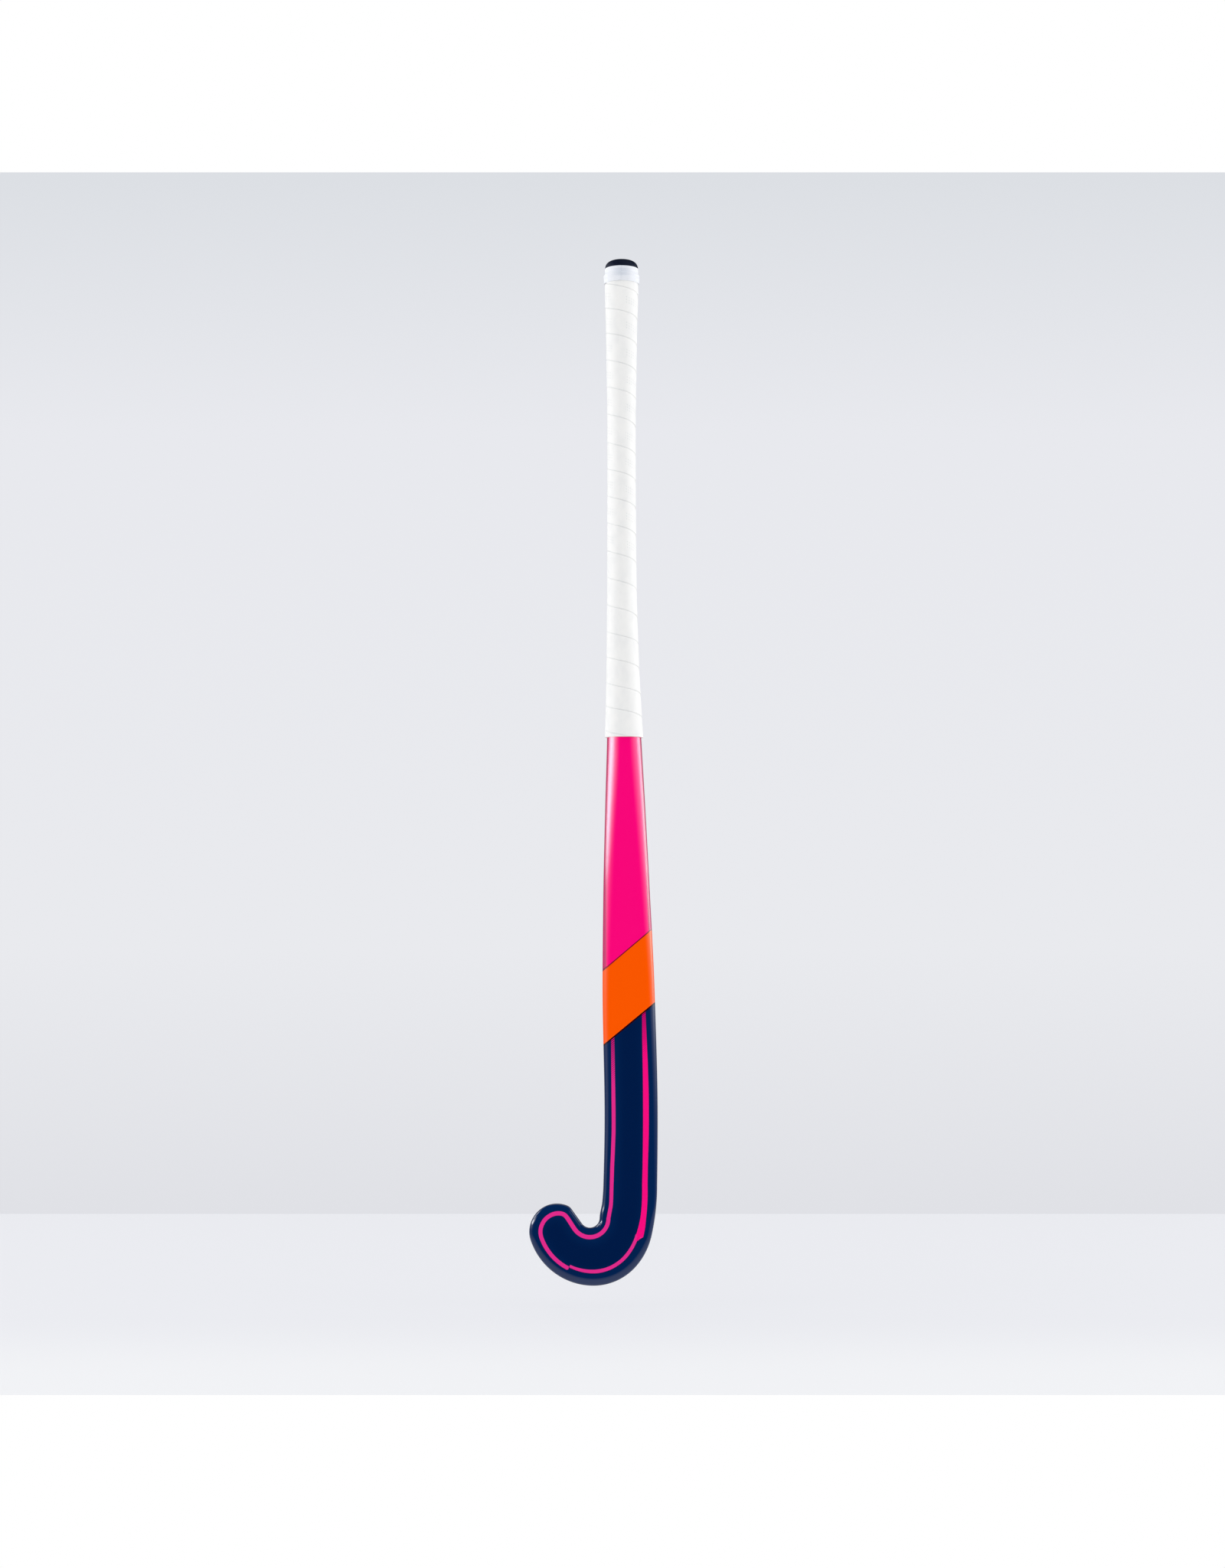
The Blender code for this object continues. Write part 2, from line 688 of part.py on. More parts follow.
def make_cap(parts):
    """Domed rubber cap: its spigot fills the plug's socket and its flange covers the laminate."""
    flange = BUTT_DIAMETER / 2
    seat = HANDLE_TOP + CLEARANCE
    spigot_end = seat - SPIGOT_LENGTH
    crown_top = STICK_LENGTH - NUB_HEIGHT
    profile = [(0.0, STICK_LENGTH), (NUB_RADIUS, STICK_LENGTH), (NUB_RADIUS, crown_top)]
    rise = crown_top - DOME_FOOT
    for step in range(1, 8):
        turn = math.pi / 2 * step / 7
        profile.append((LIP_RADIUS * math.sin(turn), DOME_FOOT + rise * math.cos(turn)))
    profile += [
        (LIP_RADIUS, LIP_FOOT),
        (flange, LIP_FOOT),
        (flange, seat),
        (SPIGOT_RADIUS, seat),
        (SPIGOT_RADIUS, spigot_end + SPIGOT_CHAMFER),
        (SPIGOT_RADIUS - SPIGOT_CHAMFER, spigot_end),
        (0.0, spigot_end),
    ]
    finish(turned("end_cap", profile, parts), "cap_rubber")


def make_collar(parts):
    """Tape once round the grip's end and the cap's lip, its ends meeting at a seam in front."""
    band = BUTT_DIAMETER / 2 + GRIP_RIDGE + CLEARANCE + COLLAR_THICKNESS
    lip_band = LIP_RADIUS + CLEARANCE + COLLAR_THICKNESS
    shoulder = LIP_FOOT + CLEARANCE
    profile = [
        (lip_band, DOME_FOOT + CLEARANCE),
        (lip_band, shoulder + band - lip_band),
        (band, shoulder),
        (band, GRIP_TOP - COLLAR_LENGTH),
    ]
    seam = COLLAR_SEAM_GAP / band
    collar = turned("finishing_tape", profile, parts, 2 * math.pi - seam)
    collar.rotation_euler.z = COLLAR_SEAM_ANGLE + seam
    solidify = collar.modifiers.new("tape", "SOLIDIFY")
    solidify.thickness = COLLAR_THICKNESS
    solidify.offset = -1.0
    finish(collar, "finishing_tape")


def ramp(value, start, end):
    """Smooth rise from 0 at a start to 1 at an end."""
    t = min(max((value - start) / (end - start), 0.0), 1.0)
    return t * t * (3 - 2 * t)


def grip_section(turns, last_turn):
    """Strip's section as (height, distance off the handle): its outer side, then its inner side."""
    lower = GRIP_FOOT + GRIP_PITCH * (turns - 1)
    cut_low = max(GRIP_FOOT - lower, 0.0)
    width = min(GRIP_PITCH + GRIP_LAP, GRIP_TOP - lower)
    raised = ramp(turns, 0.90, 0.98)
    tucked = 1 - ramp(turns, last_turn - 0.98, last_turn - 0.90)
    lift = CLEARANCE + raised * (GRIP_TUCK_THICKNESS + GRIP_SELF_GAP)
    ridge = GRIP_THICKNESS + raised * (GRIP_RIDGE - GRIP_THICKNESS)
    tuck = GRIP_THICKNESS - tucked * (GRIP_THICKNESS - CLEARANCE - GRIP_TUCK_THICKNESS)
    round_over = GRIP_RIDGE - GRIP_THICKNESS
    tuck_start = GRIP_PITCH - 0.5 * GRIP_SLOPE
    outer = [
        (0.0, ridge - round_over),
        (round_over, ridge),
        (tuck_start - GRIP_SLOPE, GRIP_THICKNESS),
        (tuck_start, tuck),
        (GRIP_PITCH + GRIP_LAP, tuck),
    ]
    under_end = GRIP_LAP + 0.5 * GRIP_SLOPE
    inner = [
        (0.0, lift),
        (under_end, lift),
        (under_end + GRIP_SLOPE, CLEARANCE),
        (GRIP_PITCH + GRIP_LAP, CLEARANCE),
    ]
    loop = clipped(outer, cut_low, width) + clipped(inner, cut_low, width)[::-1]
    return [(lower + along, off) for along, off in loop]


def clipped(line, low, high):
    """Line of (along, off) points drawn in between a low and a high end, in order and apart."""
    count = len(line)
    points = []
    for index, (along, _) in enumerate(line):
        along = max(along, low + GRIP_CUT_STEP * index)
        along = min(along, high - GRIP_CUT_STEP * (count - 1 - index))
        points.append((along, off_at(line, along)))
    return points


def off_at(line, along):
    """How far a line of (along, off) points stands off at a place along it."""
    for (start, start_off), (end, end_off) in zip(line, line[1:]):
        if along <= end:
            share = max(along - start, 0.0) / (end - start)
            return start_off + (end_off - start_off) * share
    return line[-1][1]


def on_handle(angle, height, off):
    """Point at an angle round the handle and a distance off its surface."""
    station = station_at(height)
    middle = (station.heel_side - station.toe_side) / 2
    half = (station.heel_side + station.toe_side) / 2
    across = middle + (half + off) * math.cos(angle)
    return place(across, (station.depth / 2 + off) * math.sin(angle), height)


def gap_to_edge(point, start, end):
    """Distance from a point to a straight edge."""
    along = end - start
    share = min(max((point - start).dot(along) / along.length_squared, 0.0), 1.0)
    return (point - start - share * along).length


def least_gap(loops):
    """Least distance between a loop of the strip and the loop one turn above it."""
    least = math.inf
    for lower, upper in zip(loops, loops[STEPS_PER_TURN:]):
        for one, other in ((lower, upper), (upper, lower)):
            for start, end in zip(other, other[1:] + other[:1]):
                least = min(least, min(gap_to_edge(point, start, end) for point in one))
    return least


def make_grip(parts):
    """Cushioned tape wound from the foot of the handle up over the cap's flange."""
    last_turn = (GRIP_LENGTH - GRIP_LAP) / GRIP_PITCH + 1
    steps = math.floor(last_turn * STEPS_PER_TURN)
    loops = []
    for step in range(steps + 1):
        turns = step / STEPS_PER_TURN
        angle = GRIP_START_ANGLE - 2 * math.pi * turns
        strip = grip_section(turns, steps / STEPS_PER_TURN)
        loops.append([on_handle(angle, height, off) for height, off in strip])
    print(f"grip tape: {last_turn:.1f} turns, least gap to itself {1000 * least_gap(loops):.2f} mm")
    finish(new_object("grip_tape", loft(loops), parts), "grip_cushion")


def main():
    """Clears the scene and builds every piece of the stick."""
    for obj in list(bpy.data.objects):
        bpy.data.objects.remove(obj)
    parts = bpy.data.collections.new("indoor_hockey_stick")
    cutters = bpy.data.collections.new("cutters")
    bpy.context.scene.collection.children.link(parts)
    bpy.context.scene.collection.children.link(cutters)
    make_shell(parts, cutters)
    make_core(parts)
    make_rib(parts)
    make_guard(parts)
    make_plug(parts, cutters)
    make_cap(parts)
    make_grip(parts)
    make_collar(parts)


main()
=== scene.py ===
"""Looks of an indoor hockey stick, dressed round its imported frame.

The frame says how high the laminate, the winding, the tape and the cap reach. Their other sizes
are fields of the classes below, in metres where a class doesn't say otherwise. Heights run up from
the lowest point of the heel, and the frame's origin lies on the handle's axis where the upper hand
holds the stick.
"""

import logging
import math
from contextlib import contextmanager
from dataclasses import dataclass, field, replace
from enum import Enum
from typing import Iterator, Sequence

import bpy
import numpy as np
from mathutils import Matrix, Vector


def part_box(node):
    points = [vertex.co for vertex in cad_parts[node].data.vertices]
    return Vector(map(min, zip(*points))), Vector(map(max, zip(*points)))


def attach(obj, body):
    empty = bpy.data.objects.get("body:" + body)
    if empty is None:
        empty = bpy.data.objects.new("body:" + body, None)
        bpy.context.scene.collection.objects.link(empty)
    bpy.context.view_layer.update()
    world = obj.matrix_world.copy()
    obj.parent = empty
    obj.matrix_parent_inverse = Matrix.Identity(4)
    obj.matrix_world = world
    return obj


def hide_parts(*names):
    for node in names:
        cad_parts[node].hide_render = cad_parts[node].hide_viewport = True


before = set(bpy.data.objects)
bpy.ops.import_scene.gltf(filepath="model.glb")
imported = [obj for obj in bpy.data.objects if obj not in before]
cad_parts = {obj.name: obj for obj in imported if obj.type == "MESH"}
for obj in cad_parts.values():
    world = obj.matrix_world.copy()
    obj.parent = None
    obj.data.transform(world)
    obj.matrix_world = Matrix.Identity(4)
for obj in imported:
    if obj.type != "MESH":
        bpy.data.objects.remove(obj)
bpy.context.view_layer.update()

LOG = logging.getLogger("stick")
BODY = "root"
HOLD_HEIGHT = 0.700
STRIPE_CORNER_RADIUS = 0.0165
MILLIMETRE = 0.001
MERGE_DISTANCE = 1e-7
HALVINGS = 40
QUARTER = math.pi / 2

Pair = tuple[float, float]
Triple = tuple[float, float, float]
Colour = Triple
Curve = tuple[Pair, ...]
Stops = tuple[Triple, ...]
Rings = list[list[Vector]]


def screen_colour(red: int, green: int, blue: int) -> Colour:
    """Linear colour of a colour written as it shows on a screen.

    Args:
        red: Red from 0 to 255.
        green: Green from 0 to 255.
        blue: Blue from 0 to 255.

    Returns:
        The same colour as linear red, green and blue from 0 to 1.
    """

    def linear(level: int) -> float:
        """Linear level of one channel."""
        share = level / 255
        return share / 12.92 if share <= 0.04045 else ((share + 0.055) / 1.055) ** 2.4

    return linear(red), linear(green), linear(blue)


def smooth_step(value: float, start: float, end: float) -> float:
    """Smooth rise of a value from 0 at a start to 1 at an end."""
    share = min(max((value - start) / (end - start), 0.0), 1.0)
    return share * share * (3 - 2 * share)


def spread(end: float, steps: int, closed: bool = False) -> list[float]:
    """Even steps from 0 towards an end, which is in the list where it is closed."""
    return [end * step / steps for step in range(steps + int(closed))]


def heading(angle: float) -> Vector:
    """Unit vector at an angle from the heel side towards the butt."""
    return Vector((math.cos(angle), math.sin(angle)))


class Node(str, Enum):
    """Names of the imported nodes."""

    SHELL = "stick_shell"
    CORE = "head_core"
    RIB = "centre_rib"
    GUARD = "heel_guard"
    PLUG = "butt_plug"
    CAP = "end_cap"
    GRIP = "grip_tape"
    TAPE = "finishing_tape"


class Slot(str, Enum):
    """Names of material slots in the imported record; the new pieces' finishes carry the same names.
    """

    PAINT = "painted_laminate"
    STRIP = "heel_strip"
    RUBBER = "cap_rubber"
    CUSHION = "grip_cushion"
    TAPE = "finishing_tape"


class Side(Enum):
    """Which edge of the stick a length of outline belongs to."""

    TOE = -1
    HEEL = 1


# Outline and body of the stick


@dataclass(frozen=True)
class Arc:
    """A round stretch of the outline, in the plane of the playing face."""

    centre: Vector
    radius: float
    start: float
    end: float

    @property
    def length(self) -> float:
        """Length of the arc."""
        return self.radius * abs(self.end - self.start)

    def at(self, distance: float) -> Vector:
        """Point at a distance along the arc."""
        turned = math.copysign(distance / self.radius, self.end - self.start)
        return self.centre + self.radius * heading(self.start + turned)


@dataclass(frozen=True)
class Straight:
    """A straight stretch of the outline."""

    start: Vector
    end: Vector

    @property
    def length(self) -> float:
        """Length of the stretch."""
        return (self.end - self.start).length

    def at(self, distance: float) -> Vector:
        """Point at a distance along the stretch."""
        return self.start.lerp(self.end, distance / self.length)


@dataclass(frozen=True)
class Edge:
    """Stretches of the outline end to end, read by the distance along them."""

    stretches: tuple[Arc | Straight, ...]

    @property
    def length(self) -> float:
        """Length of all stretches together."""
        return sum(stretch.length for stretch in self.stretches)

    def at(self, distance: float) -> Vector:
        """Point at a distance along the edge."""
        for stretch in self.stretches[:-1]:
            if distance <= stretch.length:
                return stretch.at(distance)
            distance -= stretch.length
        return self.stretches[-1].at(distance)


@dataclass
class HeadOutline:
    """Edge of the head as arcs end to end, seen from the playing face."""

    low_point_reach: float = 0.0252
    underside_radius: float = 0.0604
    heel_radius: float = 0.0520
    heel_turn: float = math.radians(50)
    upper_heel_radius: float = 0.0618
    upper_heel_turn: float = math.radians(27)
    shank_radius: float = 0.200
    shank_turn: float = math.radians(13)
    toe_height: float = 0.0740
    toe_tip_radius: float = 0.0255
    toe_corner_radius: float = 0.0095
    toe_heading: float = math.radians(110)
    crook_reach: float = 0.0285
    crook_height: float = 0.0527
    crook_radius: float = 0.0080
    hook_lean: float = math.radians(54)
    trim: float = 0.0007
    outer: Edge = field(init=False)
    crook: Arc = field(init=False)
    toe: Edge = field(init=False)
    pole: Vector = field(init=False)
    neck_height: float = field(init=False)
    outer_crook: float = field(init=False)
    outer_hook: float = field(init=False)

    def __post_init__(self) -> None:
        """Works out the arcs' centres from the radii, turns and reaches."""
        heel_centre = Vector((-self.low_point_reach, self.heel_radius))
        upper_start = -math.pi / 2 + self.heel_turn
        upper_step = self.upper_heel_radius - self.heel_radius
        upper_centre = heel_centre - upper_step * heading(upper_start)
        shank_start = upper_start + self.upper_heel_turn
        shank_step = self.shank_radius - self.upper_heel_radius
        shank_centre = upper_centre - shank_step * heading(shank_start)
        shank_end = shank_start + self.shank_turn
        underside = Vector((-self.low_point_reach, self.underside_radius))
        toe_rise = self.toe_height - self.toe_tip_radius - underside.y
        toe_reach = math.sqrt((self.underside_radius - self.toe_tip_radius) ** 2 - toe_rise**2)
        toe_centre = underside + Vector((-toe_reach, toe_rise))
        toe_start = math.atan2(toe_rise, -toe_reach) + 2 * math.pi
        crook_centre = Vector((-self.crook_reach, self.crook_height + self.crook_radius))
        hook_normal = heading(math.pi / 2 - self.hook_lean)
        hook_foot = crook_centre - self.crook_radius * hook_normal
        corner_centre = self.toe_corner(toe_centre, hook_foot, hook_normal)
        corner_offset = corner_centre - toe_centre
        corner_end = math.atan2(corner_offset.y, corner_offset.x)
        trim, lean = self.trim, self.hook_lean
        corner_radius, tip_radius = self.toe_corner_radius - trim, self.toe_tip_radius - trim
        corner_start = corner_centre + corner_radius * hook_normal
        hook_foot = hook_foot - trim * hook_normal
        self.neck_height = shank_centre.y + (self.shank_radius - trim) * math.sin(shank_end)
        self.outer = Edge(
            (
                Arc(shank_centre, self.shank_radius - trim, shank_end, shank_start),
                Arc(upper_centre, self.upper_heel_radius - trim, shank_start, upper_start),
                Arc(heel_centre, self.heel_radius - trim, upper_start, -math.pi / 2),
                Arc(underside, self.underside_radius - trim, 3 * math.pi / 2, toe_start),
                Arc(toe_centre, tip_radius, toe_start, self.toe_heading),
            )
        )
        self.crook = Arc(crook_centre, self.crook_radius + trim, 0.0, -math.pi / 2 - lean)
        self.toe = Edge(
            (
                Straight(hook_foot, corner_start),
                Arc(corner_centre, corner_radius, math.pi / 2 - lean, corner_end),
                Arc(toe_centre, tip_radius, corner_end, self.toe_heading),
            )
        )
        self.pole = toe_centre + tip_radius * heading(self.toe_heading)
        self.outer_crook = self.outer_distance_at(crook_centre.y)
        self.outer_hook = self.opposite(hook_foot, hook_normal, underside)

    @property
    def crook_level(self) -> float:
        """Height of the centre of the crook's arc."""
        return self.crook.centre.y

    def toe_corner(self, toe_centre: Vector, hook_foot: Vector, normal: Vector) -> Vector:
        """Centre of the arc that joins the hook's straight edge to the tip of the toe.

        Args:
            toe_centre: Centre of the tip's arc.
            hook_foot: Point where the crook's arc ends.
            normal: Unit vector out of the hook's straight edge.

        Returns:
            The centre of the corner's arc.
        """
        direction = heading(math.pi - self.hook_lean)
        start = hook_foot - self.toe_corner_radius * normal
        offset = start - toe_centre
        half_b = offset.dot(direction)
        rest = offset.length_squared - (self.toe_tip_radius - self.toe_corner_radius) ** 2
        return start + (math.sqrt(half_b**2 - rest) - half_b) * direction

    def outer_distance_at(self, height: float) -> float:
        """Distance along the outer edge at which the heel side passes a height."""
        low, high = 0.0, self.outer.length / 2
        for _ in range(HALVINGS):
            middle = (low + high) / 2
            if self.outer.at(middle).y > height:
                low = middle
            else:
                high = middle
        return low

    def opposite(self, hook_foot: Vector, normal: Vector, underside: Vector) -> float:
        """Distance along the outer edge straight across the toe from the foot of the hook.

        Args:
            hook_foot: Point where the crook's arc ends.
            normal: Unit vector out of the hook's straight edge.
            underside: Centre of the underside's arc.

        Returns:
            The distance from the outer edge's start.
        """
        offset = hook_foot - underside
        along = offset.dot(normal)
        radius = self.underside_radius - self.trim
        reach = math.sqrt(along**2 - offset.length_squared + radius**2)
        across = offset - (along + reach) * normal
        turned = -math.pi / 2 - math.atan2(across.y, across.x)
        before = sum(stretch.length for stretch in self.outer.stretches[:3])
        return before + radius * turned


@dataclass(frozen=True)
class Station:
    """Widths, depth and roundness of the stick at a height."""

    height: float
    toe_side: float
    heel_side: float
    depth: float
    roundness: float

    def values(self) -> tuple[float, float, float, float]:
        """What varies with the height."""
        return self.toe_side, self.heel_side, self.depth, self.roundness


@dataclass(frozen=True)
class Ring:
    """A section across the stick: where its edges lie and how deep, round and thick it is."""

    toe_edge: Vector
    heel_edge: Vector
    front: float
    back: float
    waist: float
    roundness: float
    wall: float
    toe_roll: float
    heel_roll: float

    @property
    def half_width(self) -> float:
        """Half the distance between the section's edges."""
        return (self.heel_edge - self.toe_edge).length / 2

    def roll(self, side: Side) -> float:
        """Width of the face's rolled-off edge on one side."""
        return self.heel_roll if side is Side.HEEL else self.toe_roll

    def power(self, fullness: float) -> float:
        """Power that rounds a quarter of the section, 1 where it is a plain oval."""
        return 2 / (fullness + (2 - fullness) * self.roundness)


@dataclass
class StickBody:
    """The stick's outer form and the hollow inside it."""

    head: HeadOutline = field(default_factory=HeadOutline)
    handle_top: float = field(default_factory=lambda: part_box(Node.SHELL)[1].z + HOLD_HEIGHT)
    bow_depth: float = 0.020
    bow_power: float = 1.5
    bow_end_drop: float = 0.013
    straight_face_height: float = 0.095
    head_depth: float = 0.0200
    neck_toe_side: float = 0.01645
    cheek_height: float = 0.0745
    cheek_toe_side: float = 0.01745
    shaft_trim: float = 0.00045
    shaft_stations: tuple[Station, ...] = (
        Station(0.150, 0.0158, 0.0330, 0.0203, 0.10),
        Station(0.268, 0.0177, 0.0302, 0.0212, 0.25),
        Station(0.345, 0.0171, 0.0265, 0.0226, 0.50),
        Station(0.430, 0.0153, 0.0220, 0.0246, 0.80),
    )
    handle_stations: tuple[Station, ...] = (
        Station(-0.4145, 0.0131, 0.0178, 0.0262, 1.0),
        Station(-0.3495, 0.0119, 0.0142, 0.0274, 1.0),
        Station(-0.2695, 0.0112, 0.0118, 0.0274, 1.0),
        Station(-0.1495, 0.0110, 0.0110, 0.0274, 1.0),
        Station(-0.0495, 0.0123, 0.0123, 0.02705, 1.0),
        Station(-0.0065, 0.01335, 0.01335, 0.0267, 1.0),
        Station(0.0, 0.01335, 0.01335, 0.0267, 1.0),
    )
    edge_round: float = 0.0060
    shaft_roll: float = 0.0042
    head_roll: float = 0.0098
    roll_rise: Pair = (-0.015, 0.055)
    roll_fall: Pair = (0.182, 0.212)
    shaft_fullness: float = 2.2
    head_fullness: float = 2.9
    back_fullness: float = 2.3
    toe_run_out: float = 0.0240
    least_flat: float = 0.0002
    shaft_wall: float = 0.0030
    head_wall: float = 0.0045
    wall_change: Pair = (0.110, 0.190)
    cavity_toe_share: float = 0.60
    stations: list[Station] = field(init=False)
    bow_top: float = field(init=False)

    def __post_init__(self) -> None:
        """Puts the head's, shaft's and handle's stations in one list."""
        head = self.head
        crook_toe_side = head.crook_reach - head.crook_radius - head.trim
        crook_heel_side = head.outer.at(head.outer_crook).x
        neck_heel_side = head.outer.at(0.0).x
        cheek_heel_side = (crook_heel_side + neck_heel_side) / 2
        head_sides = (
            (head.crook_level, crook_toe_side, crook_heel_side),
            (self.cheek_height, self.cheek_toe_side, cheek_heel_side),
            (head.neck_height, self.neck_toe_side, neck_heel_side),
        )
        self.stations = [Station(*sides, self.head_depth, 0.0) for sides in head_sides]
        for place in self.shaft_stations:
            toe_side, heel_side = (side - self.shaft_trim for side in place.values()[:2])
            self.stations.append(replace(place, toe_side=toe_side, heel_side=heel_side))
        for place in self.handle_stations:
            self.stations.append(replace(place, height=self.handle_top + place.height))
        self.bow_top = self.handle_top - self.bow_end_drop

    def slope_at(self, index: int, which: int) -> float:
        """Slope of one value at a station that keeps its curve free of overshoot.

        Args:
            index: Number of the station.
            which: Number of the value.

        Returns:
            The slope per metre of height.
        """
        if index in (0, len(self.stations) - 1):
            return 0.0
        before, here, after = self.stations[index - 1 : index + 2]
        value = here.values()[which]
        lower = (value - before.values()[which]) / (here.height - before.height)
        upper = (after.values()[which] - value) / (after.height - here.height)
        if lower * upper <= 0:
            return 0.0
        return 2 * lower * upper / (lower + upper)

    def station_at(self, height: float) -> Station:
        """Widths, depth and roundness at any height, smooth through the stations."""
        index = 0
        while index < len(self.stations) - 2 and height > self.stations[index + 1].height:
            index += 1
        low, high = self.stations[index : index + 2]
        span = high.height - low.height
        t = min(max((height - low.height) / span, 0.0), 1.0)
        values = []
        for which, (start, end) in enumerate(zip(low.values(), high.values())):
            values.append(
                (2 * t**3 - 3 * t**2 + 1) * start
                + (t**3 - 2 * t**2 + t) * self.slope_at(index, which) * span
                + (3 * t**2 - 2 * t**3) * end
                + (t**3 - t**2) * self.slope_at(index + 1, which) * span
            )
        return Station(height, *values)

    def bow_at(self, height: float) -> float:
        """Bend towards the back at a height: straight through the head and at the butt."""
        power = self.bow_power
        deepest = 1 / (1 + power)
        scale = deepest * (1 - deepest) ** power

        def curve(share: float) -> float:
            """Bend of the shaft at a share of the bowed height."""
            return self.bow_depth * share * (1 - share) ** power / scale

        share = height / self.bow_top
        if share >= 1:
            return 0.0
        if height >= self.straight_face_height:
            return curve(share)
        join = self.straight_face_height / self.bow_top
        slope = self.bow_depth * (1 - join) ** (power - 1) * (1 - (1 + power) * join) / scale
        return curve(join) + slope * (share - join)

    def place(self, across: float, depth: float, height: float) -> Vector:
        """Point in the frame of a place on the stick.

        Args:
            across: Distance towards the heel side.
            depth: Distance towards the back, as if the stick were not bowed.
            height: Height above the heel.

        Returns:
            The point in the frame.
        """
        bow = self.bow_at(height) - self.bow_at(HOLD_HEIGHT)
        return Vector((across, depth + bow, height - HOLD_HEIGHT))

    def around(self, radius: float, angle: float, height: float) -> Vector:
        """Point in the frame at a radius and an angle round the handle's axis."""
        return self.place(radius * math.cos(angle), radius * math.sin(angle), height)

    def wall_at(self, height: float) -> float:
        """Thickness of the laminate, which grows towards the head."""
        share = smooth_step(height, *self.wall_change)
        return self.head_wall + (self.shaft_wall - self.head_wall) * share

    def roll_at(self, run: float) -> float:
        """Width of the face's rolled-off edge, at a distance round the outline."""
        share = smooth_step(run, *self.roll_rise) * (1 - smooth_step(run, *self.roll_fall))
        return self.shaft_roll + (self.head_roll - self.shaft_roll) * share

    def shaft_ring(self, height: float) -> Ring:
        """Section of the shaft at a height."""
        station = self.station_at(height)
        half_depth = station.depth / 2
        edge = self.edge_round + (half_depth - self.edge_round) * station.roundness
        heel_edge = Vector((station.heel_side, height))
        if self.head.crook_level < height < self.head.neck_height:
            heel_edge = self.head.outer.at(self.head.outer_distance_at(height))
        return Ring(
            Vector((-station.toe_side, height)),
            heel_edge,
            half_depth,
            half_depth,
            edge - half_depth,
            station.roundness,
            self.wall_at(height),
            self.shaft_roll,
            self.roll_at(self.height_run(Side.HEEL, height)),
        )

    def hook_ring(self, share: float) -> Ring:
        """Section across the heel, from the crook's level at 0 to the foot of the hook at 1."""
        head = self.head
        outer = head.outer_crook + (head.outer_hook - head.outer_crook) * share
        half = self.head_depth / 2
        return Ring(
            head.crook.at(head.crook.length * share),
            head.outer.at(outer),
            half,
            half,
            self.edge_round - half,
            0.0,
            self.head_wall,
            self.shaft_roll,
            self.roll_at(head.outer.length - outer),
        )

    def toe_ring(self, share: float) -> Ring:
        """Section across the toe, from the foot of the hook at 0 to the thinned tip at 1."""

        def crown(run: float) -> float:
            """Height of a quarter circle at a share of its run."""
            return math.sqrt(1 - (1 - min(run, 1.0)) ** 2)

        head = self.head
        toe_edge = head.toe.at(head.toe.length * share)
        outer = head.outer_hook + (head.outer.length - head.outer_hook) * share
        heel_edge = head.outer.at(outer)
        run = ((toe_edge + heel_edge) / 2 - head.pole).length
        half = self.head_depth / 2
        waist = self.edge_round - half
        front = self.edge_round * crown(run / self.edge_round) - waist
        back = (half - waist) * crown(run / self.toe_run_out) + waist
        toe_roll = self.roll_at(head.toe.length * (share - 1))
        heel_roll = self.roll_at(head.outer.length - outer)
        return Ring(
            toe_edge, heel_edge, front, back, waist, 0.0, self.head_wall, toe_roll, heel_roll
        )

    def flat_reach(self, ring: Ring, side: Side, inset: float) -> float:
        """How far the flat of a section's playing face reaches to one side of its middle."""
        flat = max(ring.half_width - ring.roll(side), 0.0) * (1 - ring.roundness)
        flat = max(flat, min(self.least_flat, ring.half_width / 3))
        return min(flat, ring.half_width - inset - self.least_flat)

    def back_point(self, ring: Ring, inset: float, turn: float) -> Pair:
        """Point of a section's back.

        Args:
            ring: The section.
            inset: How far the point is set in from the surface.
            turn: Turn up from the widest place, a right angle at the middle of the back.

        Returns:
            The point's across and depth.
        """
        power = ring.power(self.back_fullness)
        rise = ring.back - inset - ring.waist
        across = (ring.half_width - inset) * max(math.cos(turn), 0.0) ** power
        return across, ring.waist + rise * math.sin(turn) ** power

    def edge_point(self, ring: Ring, side: Side, inset: float, turn: float) -> Pair:
        """Point of the rolled edge between the face, at turn 0, and the widest place."""
        share = (ring.roll(side) - self.shaft_roll) / (self.head_roll - self.shaft_roll)
        fullness = self.shaft_fullness + (self.head_fullness - self.shaft_fullness) * share
        power = ring.power(fullness)
        flat = self.flat_reach(ring, side, inset)
        rise = ring.front + ring.waist - inset
        across = flat + (ring.half_width - inset - flat) * math.sin(turn) ** power
        return across, ring.waist - rise * max(math.cos(turn), 0.0) ** power

    def on_ring(self, ring: Ring, across: float, depth: float) -> Vector:
        """Point in the frame from a section's own across and depth."""
        middle = (ring.toe_edge + ring.heel_edge) / 2
        along = (ring.heel_edge - ring.toe_edge).normalized()
        point = middle + across * along
        return self.place(point.x, depth, point.y)

    def section(self, ring: Ring, inset: float, steps: tuple[int, int, int]) -> list[Vector]:
        """Closed loop of points round a section.

        Args:
            ring: The section.
            inset: How far the loop is set in from the surface.
            steps: Steps on half of the flat, on one rounding and on half of the back.

        Returns:
            The loop's points in the frame, from the middle of the face round by the heel side.
        """
        flat_steps, edge_steps, back_steps = steps
        halves = {}
        for side in Side:
            flat = self.flat_reach(ring, side, inset)
            half = [(across, inset - ring.front) for across in spread(flat, flat_steps)]
            half += [self.edge_point(ring, side, inset, turn) for turn in spread(QUARTER, edge_steps)]
            half += [self.back_point(ring, inset, turn) for turn in spread(QUARTER, back_steps)]
            halves[side] = [(side.value * across, depth) for across, depth in half]
        middle = self.back_point(ring, inset, QUARTER)
        points = [*halves[Side.HEEL], (0.0, middle[1]), *reversed(halves[Side.TOE][1:])]
        return [self.on_ring(ring, *point) for point in points]

